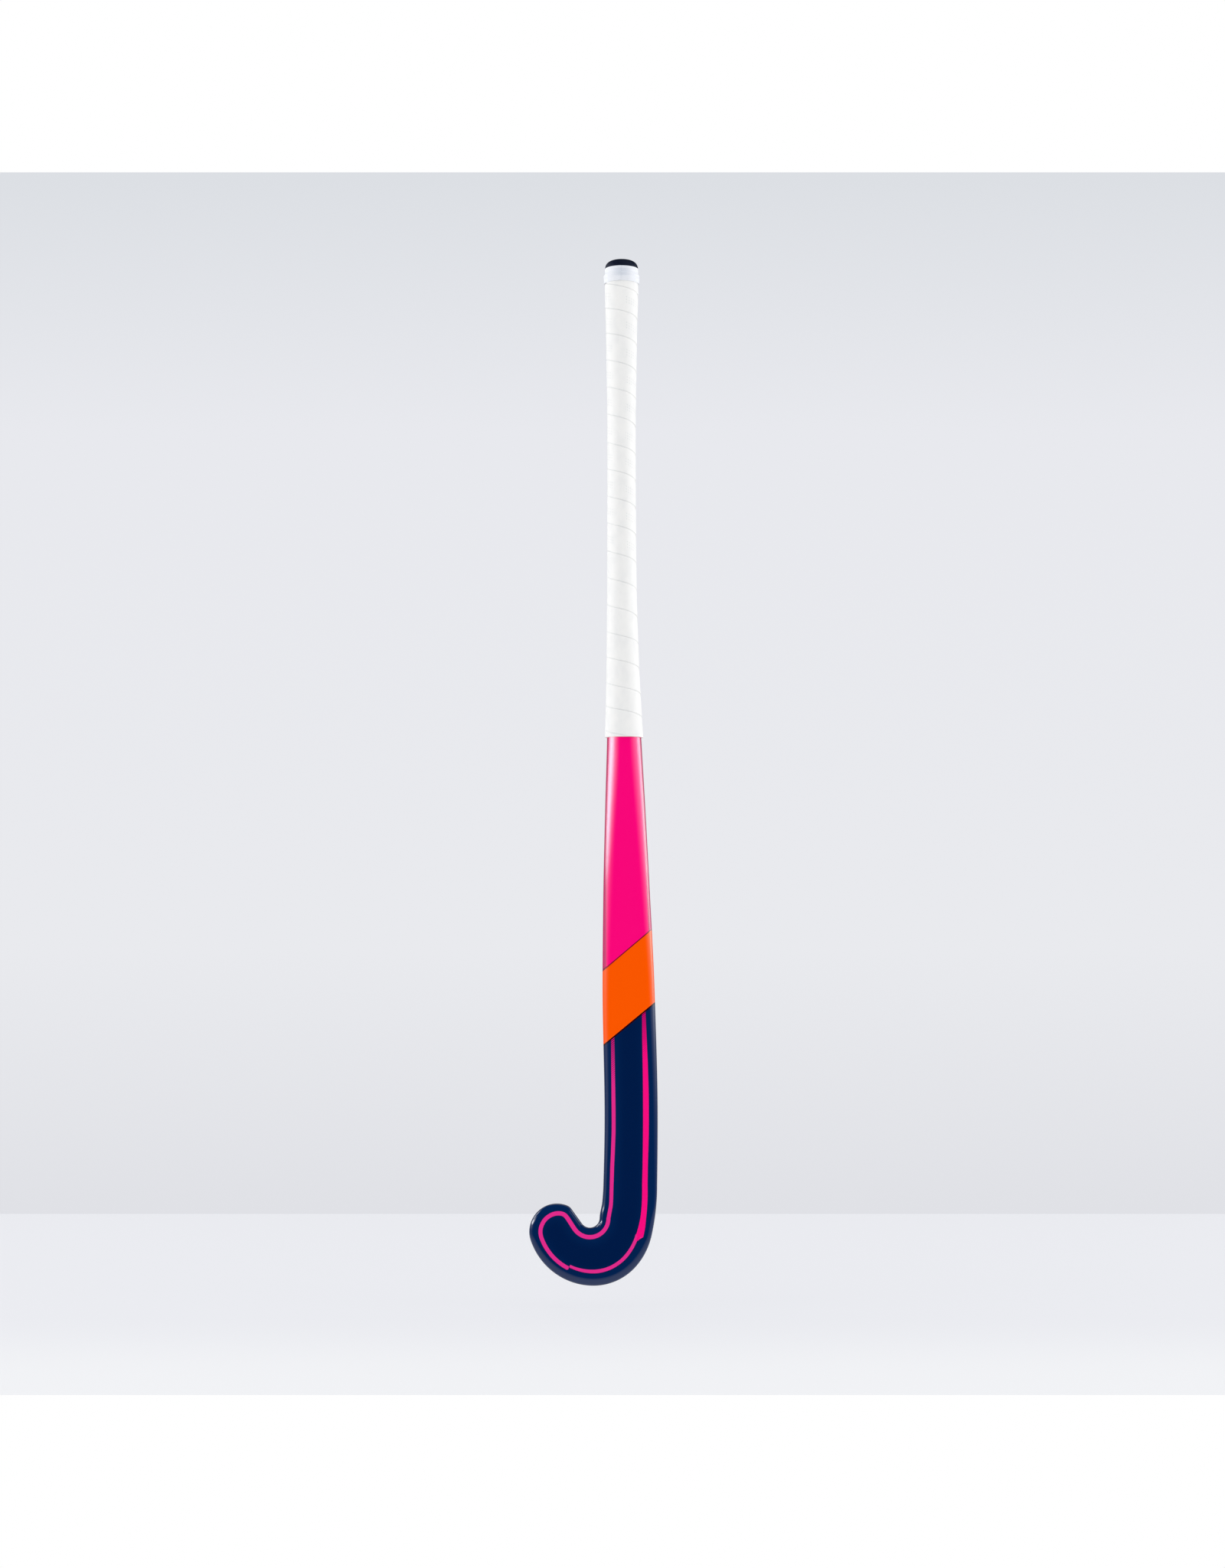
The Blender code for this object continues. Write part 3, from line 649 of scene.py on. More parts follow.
    def strip_line(
        self, ring: Ring, inset: float, limit: float, steps: tuple[int, int]
    ) -> list[Pair]:
        """Line round the heel-side edge of a section, from its face to its back.

        Args:
            ring: The section.
            inset: How far the line is set in from the surface.
            limit: Distance from the section's middle at which both ends stop.
            steps: Steps on the rounding and on the back.

        Returns:
            The line's points as across and depth.
        """
        edge_turns = spread(QUARTER, steps[0])
        last = math.acos((limit / (ring.half_width - inset)) ** (1 / ring.power(self.back_fullness)))
        back_turns = spread(last, steps[1], closed=True)
        edge = [self.edge_point(ring, Side.HEEL, inset, turn) for turn in edge_turns]
        back = [self.back_point(ring, inset, turn) for turn in back_turns]
        return [(limit, inset - ring.front), *edge, *back]

    def height_run(self, side: Side, height: float) -> float:
        """Distance round the outline from the toe's pole to a height on the shaft.

        Args:
            side: The edge on which the place lies.
            height: Height above the heel, over the crook.

        Returns:
            The distance, below zero on the toe side.
        """
        head = self.head
        if side is Side.HEEL:
            return head.outer.length + height - head.neck_height
        return -(head.toe.length + head.crook.length + height - head.crook_level)

    def outline(self, spacing: float) -> tuple[np.ndarray, np.ndarray]:
        """Points round the whole outline and their distances from the toe's pole.

        Args:
            spacing: Distance between the points.

        Returns:
            Rows of across and height, and the distances, below zero on the toe side.
        """
        head = self.head
        points, runs = [], []
        for edge, first, sign in (
            (head.outer, head.outer.length, -1),
            (head.toe, -head.toe.length, 1),
            (head.crook, -head.toe.length - head.crook.length, 1),
        ):
            for distance in np.arange(0.0, edge.length, spacing):
                points.append(edge.at(float(distance))[:])
                runs.append(first + sign * distance)
        for side, foot in ((Side.HEEL, head.neck_height), (Side.TOE, head.crook_level)):
            for height in np.arange(foot, self.handle_top, spacing):
                station = self.station_at(float(height))
                across = station.heel_side if side is Side.HEEL else -station.toe_side
                points.append((across, height))
                runs.append(self.height_run(side, height))
        return np.array(points), np.array(runs)


# Modelling


def select(obj: bpy.types.Object) -> None:
    """Makes an object the only selected one and the active one."""
    bpy.ops.object.select_all(action="DESELECT")
    obj.select_set(True)
    bpy.context.view_layer.objects.active = obj


@contextmanager
def editing(obj: bpy.types.Object) -> Iterator[None]:
    """Opens an object for mesh operators, with its whole mesh selected, and closes it again."""
    select(obj)
    bpy.ops.object.mode_set(mode="EDIT")
    bpy.ops.mesh.select_all(action="SELECT")
    yield
    bpy.ops.object.mode_set(mode="OBJECT")


def loft(name: str, rings: Rings, kept: dict[str, np.ndarray] | None = None) -> bpy.types.Object:
    """Closed surface from a grid rolled up through rings of equally many points.

    Args:
        name: Name of the piece.
        rings: The rings' points in the frame, from one end of the piece to the other.
        kept: Numbers to keep on the rings' points, by the names that materials read.

    Returns:
        The new object, its faces outward and both its ends closed.
    """
    count = len(rings[0])
    bpy.ops.mesh.primitive_grid_add(x_subdivisions=count, y_subdivisions=len(rings) - 1)
    obj = bpy.context.active_object
    obj.name = name
    obj.data.name = name
    rolled = np.array([[point[:] for point in (*ring, ring[0])] for ring in rings])
    obj.data.vertices.foreach_set("co", rolled.ravel())
    for attribute, values in (kept or {}).items():
        rows = values.reshape(len(rings), count)
        store(obj, attribute, np.hstack((rows, rows[:, :1])).ravel())
    with editing(obj):
        bpy.ops.mesh.remove_doubles(threshold=MERGE_DISTANCE)
        bpy.ops.mesh.fill_holes(sides=0)
        bpy.ops.mesh.normals_make_consistent(inside=False)
    return obj


def smooth(obj: bpy.types.Object, angle: float) -> None:
    """Shades an object smooth, with edges sharper than an angle kept."""
    select(obj)
    bpy.ops.object.shade_smooth_by_angle(angle=angle, keep_sharp_edges=False)


def cut(obj: bpy.types.Object, cutter: bpy.types.Object) -> None:
    """Cuts a closed piece out of another and removes the cutter."""
    modifier = obj.modifiers.new("cut", "BOOLEAN")
    modifier.operation = "DIFFERENCE"
    modifier.solver = "EXACT"
    modifier.object = cutter
    select(obj)
    bpy.ops.object.modifier_apply(modifier=modifier.name)
    bpy.data.objects.remove(cutter)


def store(obj: bpy.types.Object, name: str, values: np.ndarray) -> None:
    """Keeps one number a vertex on a mesh, for its material to read."""
    attribute = obj.data.attributes.new(name, "FLOAT", "POINT")
    attribute.data.foreach_set("value", values.astype(np.float32))


def place_piece(obj: bpy.types.Object, slot: Slot, *nodes: Node) -> None:
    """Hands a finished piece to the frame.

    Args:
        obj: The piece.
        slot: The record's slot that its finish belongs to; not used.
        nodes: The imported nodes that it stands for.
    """
    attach(obj, BODY)
    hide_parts(*(node.value for node in nodes))
    LOG.info("%s: %d faces", obj.name, len(obj.data.polygons))


# Shader maths


@dataclass(frozen=True)
class Socket:
    """A shader's output, with the operators that its maths uses."""

    shader: "Shader"
    link: bpy.types.NodeSocket

    def __add__(self, other: "Value") -> "Socket":
        """Sum."""
        return self.shader.math("ADD", self, other)

    def __sub__(self, other: "Value") -> "Socket":
        """Difference."""
        return self.shader.math("SUBTRACT", self, other)

    def __rsub__(self, other: "Value") -> "Socket":
        """Difference with a number first."""
        return self.shader.math("SUBTRACT", other, self)

    def __mul__(self, other: "Value") -> "Socket":
        """Product."""
        return self.shader.math("MULTIPLY", self, other)

    def __abs__(self) -> "Socket":
        """Size without its sign."""
        return self.shader.math("ABSOLUTE", self)


Value = Socket | float | Sequence[float]


@dataclass(frozen=True)
class Shader:
    """A node tree in which a finish or a light is worked out."""

    tree: bpy.types.NodeTree

    def node(
        self, kind: str, settings: dict, inputs: dict[int | str, Value], output: int | str = 0
    ) -> Socket:
        """Adds a node.

        Args:
            kind: Type of the node.
            settings: Its properties, set first, with a ramp's stops under "stops".
            inputs: Values or links, by the names or numbers of its sockets.
            output: Name or number of the output that is wanted.

        Returns:
            The output.
        """
        node = self.tree.nodes.new(kind)
        for name, value in settings.items():
            if name == "stops":
                self.set_stops(node.color_ramp, value)
            else:
                setattr(node, name, value)
        for name, value in inputs.items():
            self.feed(node.inputs[name], value)
        return Socket(self, node.outputs[output])

    def fill(self, name: str, inputs: dict[str, Value]) -> None:
        """Feeds the sockets of a node that the tree starts with."""
        for socket, value in inputs.items():
            self.feed(self.tree.nodes[name].inputs[socket], value)

    def feed(self, target: bpy.types.NodeSocket, value: Value) -> None:
        """Links or sets one socket."""
        if isinstance(value, Socket):
            self.tree.links.new(value.link, target)
        elif target.type == "RGBA" and len(value) == 3:
            target.default_value = (*value, 1.0)
        else:
            target.default_value = value

    def set_stops(self, ramp: bpy.types.ColorRamp, stops: Sequence[tuple[float, Colour]]) -> None:
        """Gives a colour ramp its stops."""
        while len(ramp.elements) < len(stops):
            ramp.elements.new(1.0)
        for element, (position, colour) in zip(ramp.elements, stops):
            element.position = position
            element.color = (*colour, 1.0)

    def math(self, operation: str, *values: Value) -> Socket:
        """Result of one operation on numbers."""
        return self.node("ShaderNodeMath", {"operation": operation}, dict(enumerate(values)))

    def mix(self, share: Value, first: Value, second: Value) -> Socket:
        """Colour between two colours, the second at a share of 1."""
        settings = {"data_type": "RGBA", "clamp_factor": True}
        return self.node("ShaderNodeMix", settings, {0: share, 6: first, 7: second}, 2)

    def rise(self, value: Value, start: float, end: float) -> Socket:
        """Smooth rise of a value from 0 at a start to 1 at an end."""
        settings = {"interpolation_type": "SMOOTHSTEP", "clamp": True}
        return self.node("ShaderNodeMapRange", settings, {0: value, 1: start, 2: end})

    def run(self, value: Value, places: Pair, results: Pair, clamp: bool) -> Socket:
        """Number that runs evenly from one result to another between two places of a value."""
        inputs = dict(enumerate((value, *places, *results)))
        return self.node("ShaderNodeMapRange", {"clamp": clamp}, inputs)

    def curve(self, value: Socket, points: Sequence[Pair]) -> Socket:
        """Number read off straight lines between points.

        Args:
            value: What the number depends on.
            points: Rising values, each with the number that belongs to it.

        Returns:
            The number, level before the first point and past the last.
        """
        first, last = points[0][0], points[-1][0]
        most = max(number for _, number in points)
        stops = [
            ((place - first) / (last - first), (number / most,) * 3) for place, number in points
        ]
        share = (value - first) * (1 / (last - first))
        return self.node("ShaderNodeValToRGB", {"stops": stops}, {0: share}) * most

    def attribute(self, name: str) -> Socket:
        """A number kept on the mesh."""
        return self.node("ShaderNodeAttribute", {"attribute_name": name}, {}, "Fac")

    def position(self) -> Socket:
        """Place on the piece."""
        return self.node("ShaderNodeTexCoord", {}, {}, "Object")

    def axes(self, vector: Value) -> tuple[Socket, Socket, Socket]:
        """The three parts of a vector."""
        first = self.node("ShaderNodeSeparateXYZ", {}, {0: vector})
        return tuple(Socket(self, output) for output in first.link.node.outputs)

    def cells(self, vector: Value, scale: float) -> Socket:
        """Distance to the nearest of many scattered points."""
        return self.node("ShaderNodeTexVoronoi", {}, {"Vector": vector, "Scale": scale}, "Distance")

    def bump(self, height: Value, distance: float) -> Socket:
        """Surface direction bent by a relief."""
        inputs = {"Height": height, "Distance": distance, "Strength": 1.0}
        return self.node("ShaderNodeBump", {}, inputs, "Normal")


def new_material(name: str) -> tuple[bpy.types.Material, Shader]:
    """Makes a material and opens its node tree for shader maths."""
    material = bpy.data.materials.new(name)
    material.use_nodes = True
    return material, Shader(material.node_tree)


@dataclass(frozen=True)
class Noise:
    """Even noise from 0 to 1, over places that may be drawn out first."""

    scale: float
    detail: float
    roughness: float = 0.5
    stretch: Triple | None = None

    def over(self, shader: Shader, vector: Value) -> Socket:
        """The noise at a place."""
        if self.stretch:
            vector = shader.node("ShaderNodeMapping", {}, {"Vector": vector, "Scale": self.stretch})
        inputs = {"Scale": self.scale, "Detail": self.detail, "Roughness": self.roughness}
        return shader.node("ShaderNodeTexNoise", {}, {"Vector": vector, **inputs}, "Fac")


@dataclass(frozen=True)
class Finish:
    """What every finish has: its name and the fixed numbers of its surface."""

    name: str
    roughness: float
    specular: float = 0.5
    coat: float = 0.0
    coat_roughness: float = 0.05

    def material(self) -> bpy.types.Material:
        """Makes the material."""
        material, shader = new_material(self.name)
        fixed = {
            "Roughness": self.roughness,
            "Specular IOR Level": self.specular,
            "Coat Weight": self.coat,
            "Coat Roughness": self.coat_roughness,
        }
        shader.fill("Principled BSDF", {**fixed, **self.surface(shader)})
        return material

    def surface(self, shader: Shader) -> dict[str, Value]:
        """What varies over the surface, by the names of its sockets."""
        raise NotImplementedError


# Painted laminate


@dataclass(frozen=True)
class Stripe:
    """A painted stripe along the outline, in millimetres.

    Each stop gives the distance along the outline, the distance in from it at which the stripe
    starts, and the one at which it ends. A stop on the shaft gives its height in place of the
    distance along. Past its first and last stops the stripe runs on, unless an end is set, at a
    slant of so many millimetres along for each one further in.
    """

    stops: Stops
    side: Side = Side.HEEL
    shaft_stops: Stops = ()
    start: float = -math.inf
    end: float = math.inf
    slant: float = 0.0
    vivid: float = 0.0

    def all_stops(self, body: StickBody) -> Stops:
        """Every stop by its distance along the outline, in order."""
        stops = list(self.stops)
        for height, low, high in self.shaft_stops:
            run = body.height_run(self.side, height * MILLIMETRE) / MILLIMETRE
            stops.append((run, low, high))
        return tuple(sorted(stops))

    def inside(self, body: StickBody, run: np.ndarray, rim: np.ndarray) -> np.ndarray:
        """How far places lie inside the stripe.

        Args:
            body: The body that the stripe is painted on.
            run: Distances along the outline.
            rim: Distances in from the outline.

        Returns:
            Distances to the stripe's nearest border, below zero outside it.
        """
        runs, lows, highs = np.array(self.all_stops(body)).T
        across = np.minimum(rim - np.interp(run, runs, lows), np.interp(run, runs, highs) - rim)
        lean = self.slant * rim
        along = np.minimum(run - self.start - lean, self.end + lean - run)
        return np.minimum(across, along)


@dataclass
class StripePlan:
    """Stripes that follow the edge of the head, as they lie on face and back alike."""

    body: StickBody
    toe: Stripe = Stripe(
        stops=(
            (-50.0, 6.0, 9.7), (-36.0, 5.8, 9.7), (-28.0, 5.4, 9.2), (-21.0, 5.6, 9.4),
            (-9.0, 6.2, 10.0), (4.4, 7.3, 11.0), (17.5, 8.1, 11.7), (31.0, 8.4, 12.0),
            (60.0, 8.6, 12.1), (91.0, 8.9, 12.4),
        ),
        side=Side.TOE,
        shaft_stops=(
            (230.0, 7.3, 10.2), (210.0, 6.9, 10.0), (189.0, 6.6, 9.8), (168.0, 6.4, 9.8),
            (137.0, 6.5, 9.9), (106.0, 5.8, 9.2), (86.0, 5.8, 9.1), (75.2, 6.3, 9.6),
            (64.0, 6.5, 9.9), (61.1, 6.2, 9.7),
        ),
        end=86.6,
        slant=-0.25,
    )
    heel: Stripe = Stripe(
        stops=((231.3, 8.8, 13.6), (200.8, 8.0, 12.95), (192.0, 7.4, 13.4), (181.4, 7.3, 14.0)),
        shaft_stops=(
            (250.0, 8.9, 12.1), (241.0, 8.9, 12.2), (220.0, 8.7, 12.7), (200.0, 8.4, 12.9),
            (168.0, 8.1, 13.2), (137.0, 8.2, 13.3), (106.0, 8.8, 13.4),
        ),
        start=192.6,
        slant=-1.30,
        vivid=1.0,
    )
    heel_arc: Stripe = Stripe(
        stops=(
            (88.0, 11.7, 14.2), (101.4, 11.6, 14.6), (117.4, 11.6, 14.9), (141.4, 11.9, 15.0),
            (162.0, 11.7, 14.8), (184.4, 11.4, 14.4),
        ),
        start=87.0,
        end=187.4,
        slant=-0.25,
    )
    outline_spacing: float = 0.0005
    search_reach: float = 0.03
    chunk: int = 4000

    def lay_on(self, obj: bpy.types.Object) -> None:
        """Keeps on a mesh how far in from the edge, and how far in a stripe, each vertex lies."""
        outline, runs = self.body.outline(self.outline_spacing)
        places = np.zeros(len(obj.data.vertices) * 3)
        obj.data.vertices.foreach_get("co", places)
        places = places.reshape(-1, 3)[:, (0, 2)] + (0.0, HOLD_HEIGHT)
        rim, run = np.zeros(len(places)), np.zeros(len(places))
        for start in range(0, len(places), self.chunk):
            part = slice(start, start + self.chunk)
            low, high = places[part, 1].min(), places[part, 1].max()
            kept = outline[:, 1] >= low - self.search_reach
            kept &= outline[:, 1] <= high + self.search_reach
            square = ((places[part, None] - outline[kept]) ** 2).sum(axis=2)
            rim[part] = np.sqrt(square.min(axis=1)) / MILLIMETRE
            run[part] = runs[kept][square.argmin(axis=1)] / MILLIMETRE
        store(obj, "rim", rim)
        stripes = (self.toe, self.heel, self.heel_arc)
        depths = np.array([stripe.inside(self.body, run, rim) for stripe in stripes])
        vivid = np.array([stripe.vivid for stripe in stripes])
        store(obj, "stripe", depths.max(axis=0))
        store(obj, "vivid", vivid[depths.argmax(axis=0)])


@dataclass(frozen=True)
class Diagonal:
    """A straight border between two paints: its level over the axis, its rise and its line."""

    level: float
    rise: float
    half_line: float
    line: Colour

    def above(self, x: Socket, height: Socket) -> Socket:
        """Distance above the border, square to it, in millimetres."""
        return (height - self.level - x * self.rise) * (1 / math.hypot(1, self.rise))


@dataclass(frozen=True)
class PaintFinish(Finish):
    """Gloss paint: pink, orange and navy fields, stripes and fine hatching under a clear coat.

    Lengths are in millimetres, but for the relief of the clear coat. The lighter navy near the head's
    rim is a painted sheen.
    """

    pink: Colour = screen_colour(255, 6, 124)
    orange: Colour = screen_colour(255, 88, 0)
    navy: Colour = screen_colour(1, 27, 70)
    # Lighter navy towards the rim, fading out inwards: a painted sheen on the rounded edges.
    edge_sheen_navy: Colour = screen_colour(3, 35, 80)
    edge_sheen_fade: Pair = (6.0, 20.0)
    stripe: Colour = screen_colour(229, 44, 140)
    vivid_stripe: Colour = screen_colour(250, 12, 128)
    stripe_gap: Colour = screen_colour(58, 4, 58)
    edge_stroke: Colour = screen_colour(58, 8, 40)
    upper: Diagonal = Diagonal(296.4, 0.845, 0.45, screen_colour(110, 0, 40))
    lower: Diagonal = Diagonal(228.2, 0.824, 0.70, screen_colour(36, 2, 14))
    softness: float = 0.12
    stroke_pitch: float = 1.95
    stroke_rise: float = 0.83
    hatch_heights: Pair = (220.5, 170.5)
    hatch_shares: Pair = (0.42, 1.1)
    heel_hatch_shift: float = 24.5
    middle_reach: float = 2.0
    edge_pitch: float = 1.90
    edge_share: float = 0.50
    edge_heights: Pair = (300.0, 495.0)
    edge_reaches: Pair = (3.3, 1.8)
    orange_peel: Noise = Noise(260.0, 3.0)
    relief: float = 0.000008

    def border(self, shader: Shader, distance: Socket) -> Socket:
        """Soft step from 0 to 1 where a distance passes zero."""
        return shader.rise(distance, -self.softness, self.softness)

    def strokes(self, shader: Shader, phase: Socket, pitch: float, share: Value) -> Socket:
        """Mask of fine strokes side by side.

        Args:
            shader: The material's node tree.
            phase: Distance across the strokes, measured up the stick.
            pitch: Distance from one stroke to the next.
            share: Share of the pitch that a stroke takes up.

        Returns:
            1 on the strokes and 0 between them.
        """
        turn = shader.math("FRACT", phase * (1 / pitch))
        off_middle = abs(turn - 0.5)
        return 1 - shader.rise(off_middle - share * 0.5, -self.softness / 2, self.softness / 2)

    def head_paint(self, shader: Shader, x: Socket, height: Socket, phase: Socket) -> Socket:
        """Navy, lighter near the rim as a painted sheen, with the stripes, which break up into
        strokes at their upper ends.
        """
        rim = shader.attribute("rim")
        past_middle = shader.rise(x, -self.middle_reach, self.middle_reach)
        level = height - past_middle * self.heel_hatch_shift
        share = shader.run(level, self.hatch_heights, self.hatch_shares, clamp=True)
        pink = shader.mix(shader.attribute("vivid"), self.stripe, self.vivid_stripe)
        hatch = self.strokes(shader, phase, self.stroke_pitch, share)
        striped = shader.mix(hatch, self.stripe_gap, pink)
        # Painted sheen: the navy lightens towards the rim.
        navy = shader.mix(shader.rise(rim, *self.edge_sheen_fade), self.edge_sheen_navy, self.navy)
        return shader.mix(self.border(shader, shader.attribute("stripe")), navy, striped)

    def handle_paint(self, shader: Shader, height: Socket, phase: Socket) -> Socket:
        """Pink with fine strokes along both edges."""
        reach = shader.run(height, self.edge_heights, self.edge_reaches, clamp=False)
        near_edge = 1 - self.border(shader, shader.attribute("rim") - reach)
        hatch = self.strokes(shader, phase, self.edge_pitch, self.edge_share)
        return shader.mix(near_edge * hatch, self.pink, self.edge_stroke)

    def surface(self, shader: Shader) -> dict[str, Value]:
        """Paint fields with lines between them, over a faint relief in the clear coat."""
        position = shader.position()
        x, _, z = shader.axes(position)
        x, height = x * (1 / MILLIMETRE), z * (1 / MILLIMETRE) + HOLD_HEIGHT / MILLIMETRE
        phase = height - x * self.stroke_rise
        colour = self.head_paint(shader, x, height, phase)
        pink = self.handle_paint(shader, height, phase)
        for border, paint in ((self.lower, self.orange), (self.upper, pink)):
            above = border.above(x, height)
            colour = shader.mix(self.border(shader, above), colour, paint)
            on_line = 1 - self.border(shader, abs(above) - border.half_line)
            colour = shader.mix(on_line, colour, border.line)
        return {
            "Base Color": colour,
            "Normal": shader.bump(self.orange_peel.over(shader, position), self.relief),
        }


@dataclass(frozen=True)
class BareLaminateFinish(Finish):
    """Unpainted woven laminate, as on the inside of the shell."""

    thread: Colour = screen_colour(34, 35, 38)
    gap: Colour = screen_colour(18, 18, 20)
    pitch: float = 0.0022
    relief: float = 0.0001

    def surface(self, shader: Shader) -> dict[str, Value]:
        """Twill of dark threads with resin between them."""
        x, y, z = shader.axes(shader.position())
        warp = shader.math("SINE", (x + y + z) * (math.tau / self.pitch))
        weft = shader.math("SINE", (x + y - z) * (math.tau / self.pitch))
        weave = shader.math("MAXIMUM", warp, weft) * 0.5 + 0.5
        return {
            "Base Color": shader.mix(weave, self.gap, self.thread),
            "Normal": shader.bump(weave, self.relief),
        }


@dataclass
class PaintedLaminate:
    """The stick's moulded shell: outside, butt rim and hollow as one closed surface."""

    body: StickBody
    stripes: StripePlan
    covered_spacing: float = 0.012
    shaft_spacing: float = 0.0024
    covered_from: float = 0.520
    hook_steps: int = 84
    toe_steps: int = 72
    toe_tip_share: float = 0.9975
    section_steps: tuple[int, int, int] = (13, 14, 12)
    cavity_spacing: float = 0.030
    cavity_hook_steps: int = 12
    cavity_toe_steps: int = 6
    bed_clearance: float = 0.0003
    bed_outset: float = 0.001
    smooth_angle: float = math.radians(42)
    paint: PaintFinish = PaintFinish(
        "painted_laminate", roughness=0.60, specular=0.0, coat=1.0, coat_roughness=0.045
    )
    bare: BareLaminateFinish = BareLaminateFinish("bare_laminate", roughness=0.45)

    def shaft_heights(self, spacing: float, top: float) -> list[float]:
        """Heights from a top down to the crook's level."""
        drop = top - self.body.head.crook_level
        return [top - down for down in spread(drop, math.ceil(drop / spacing), closed=True)]

    def head_rings(self, hook_steps: int, toe_steps: int, toe_end: float) -> list[Ring]:
        """Sections round the hook and on to a share of the way up the toe."""
        rings = [self.body.hook_ring(step / hook_steps) for step in range(1, hook_steps + 1)]
        last = 1 - 1 / (toe_steps + 1) ** 2
        for step in range(1, toe_steps + 1):
            share = 1 - (1 - step / (toe_steps + 1)) ** 2
            rings.append(self.body.toe_ring(toe_end * share / last))
        return rings

    def outer_rings(self) -> list[Ring]:
        """Sections of the outside, from the butt round to the toe."""
        top = self.body.handle_top
        span = top - self.covered_from
        covered = spread(span, math.ceil(span / self.covered_spacing))
        heights = [top - down for down in covered]
        heights += self.shaft_heights(self.shaft_spacing, self.covered_from)
        rings = [self.body.shaft_ring(height) for height in heights]
        return rings + self.head_rings(self.hook_steps, self.toe_steps, self.toe_tip_share)

    def cavity_rings(self) -> list[Ring]:
        """Sections of the hollow, from the butt round to its end in the toe."""
        heights = self.shaft_heights(self.cavity_spacing, self.body.handle_top)
        rings = [self.body.shaft_ring(height) for height in heights]
        end = self.body.cavity_toe_share
        return rings + self.head_rings(self.cavity_hook_steps, self.cavity_toe_steps, end)

    def build(self) -> None:
        """Builds the shell, cuts the heel strip's bed and dresses the shell."""
        section = self.body.section
        outer = [section(ring, 0.0, self.section_steps) for ring in reversed(self.outer_rings())]
        cavity = [section(ring, ring.wall, self.section_steps) for ring in self.cavity_rings()]
        shell = loft("painted_shell", outer + cavity)
        shell.data.materials.append(self.paint.material())
        shell.data.materials.append(self.bare.material())
        first_bare = len(outer[0]) * (len(outer) - 1)
        for face in shell.data.polygons:
            if min(face.vertices) >= first_bare and len(face.vertices) == 4:
                face.material_index = 1
        cut(shell, HeelStrip(self.body).bed(self.bed_clearance, self.bed_outset))
        smooth(shell, self.smooth_angle)
        self.stripes.lay_on(shell)
        place_piece(shell, Slot.PAINT, Node.SHELL)


@dataclass
class HeelStrip:
    """Hard-wearing strip laid flush in the edge of the heel and painted over with it."""

    body: StickBody
    thickness: float = 0.0018
    reach: float = 0.0115
    share_span: Pair = (2 / 14, 11 / 14)
    steps: int = 48
    line_steps: tuple[int, int] = (10, 8)
    fit: float = 0.00024
    end_gap: float = 0.00005
    smooth_angle: float = math.radians(42)
    paint: PaintFinish = PaintFinish(
        "heel_strip", roughness=0.60, specular=0.0, coat=1.0, coat_roughness=0.06
    )

    def loops(self, clearance: float, outset: float, end_gap: float) -> Rings:
        """Sections of the strip or of its bed.

        Args:
            clearance: How far the sections reach past the strip's own sizes.
            outset: How far they stand out of the laminate's surface.
            end_gap: How far the ends stop short, along the heel.

        Returns:
            The sections' points, from the crook's side to the toe's.
        """
        body, head = self.body, self.body.head
        limit = self.reach + clearance
        trim = end_gap / (head.outer_hook - head.outer_crook)
        low, high = self.share_span[0] + trim, self.share_span[1] - trim
        depth = self.thickness + clearance
        loops = []
        for onward in spread(high - low, self.steps, closed=True):
            ring = body.hook_ring(low + onward)
            inner_limit = ring.half_width - limit
            outer = body.strip_line(ring, -outset, inner_limit, self.line_steps)
            inner = body.strip_line(ring, depth, inner_limit, self.line_steps)
            loops.append([body.on_ring(ring, *point) for point in outer + inner[::-1]])
        return loops

    def bed(self, clearance: float, outset: float) -> bpy.types.Object:
        """Cutter for the strip's bed."""
        return loft("heel_bed", self.loops(clearance, outset, 0.0))

    def build(self, stripes: StripePlan) -> None:
        """Builds the strip and dresses it in the laminate's paint."""
        strip = loft("heel_strip", self.loops(self.fit, 0.0, self.end_gap))
        strip.data.materials.append(self.paint.material())
        smooth(strip, self.smooth_angle)
        stripes.lay_on(strip)
        place_piece(strip, Slot.STRIP, Node.GUARD)


# Cap, winding and tape on the handle


@dataclass(frozen=True)
class RubberFinish(Finish):
    """Satin moulded rubber with a fine matt grain and faint dust."""

    colour: Colour = screen_colour(12, 20, 39)
    worn: Colour = screen_colour(29, 35, 51)
    cloud: Noise = Noise(90.0, 4.0, 0.6)
    cloud_span: Pair = (0.35, 0.75)
    cloud_relief: float = 0.4
    dullness: float = 0.16
    grain: Noise = Noise(2600.0, 2.0)
    relief: float = 0.00006

    def surface(self, shader: Shader) -> dict[str, Value]:
        """Slight cloudiness and a fine grain."""
        position = shader.position()
        cloud, grain = self.cloud.over(shader, position), self.grain.over(shader, position)
        worn = shader.rise(cloud, *self.cloud_span)
        return {
            "Base Color": shader.mix(worn, self.colour, self.worn),
            "Roughness": cloud * self.dullness + (self.roughness - self.dullness / 2),
            "Normal": shader.bump(grain + cloud * self.cloud_relief, self.relief),
        }


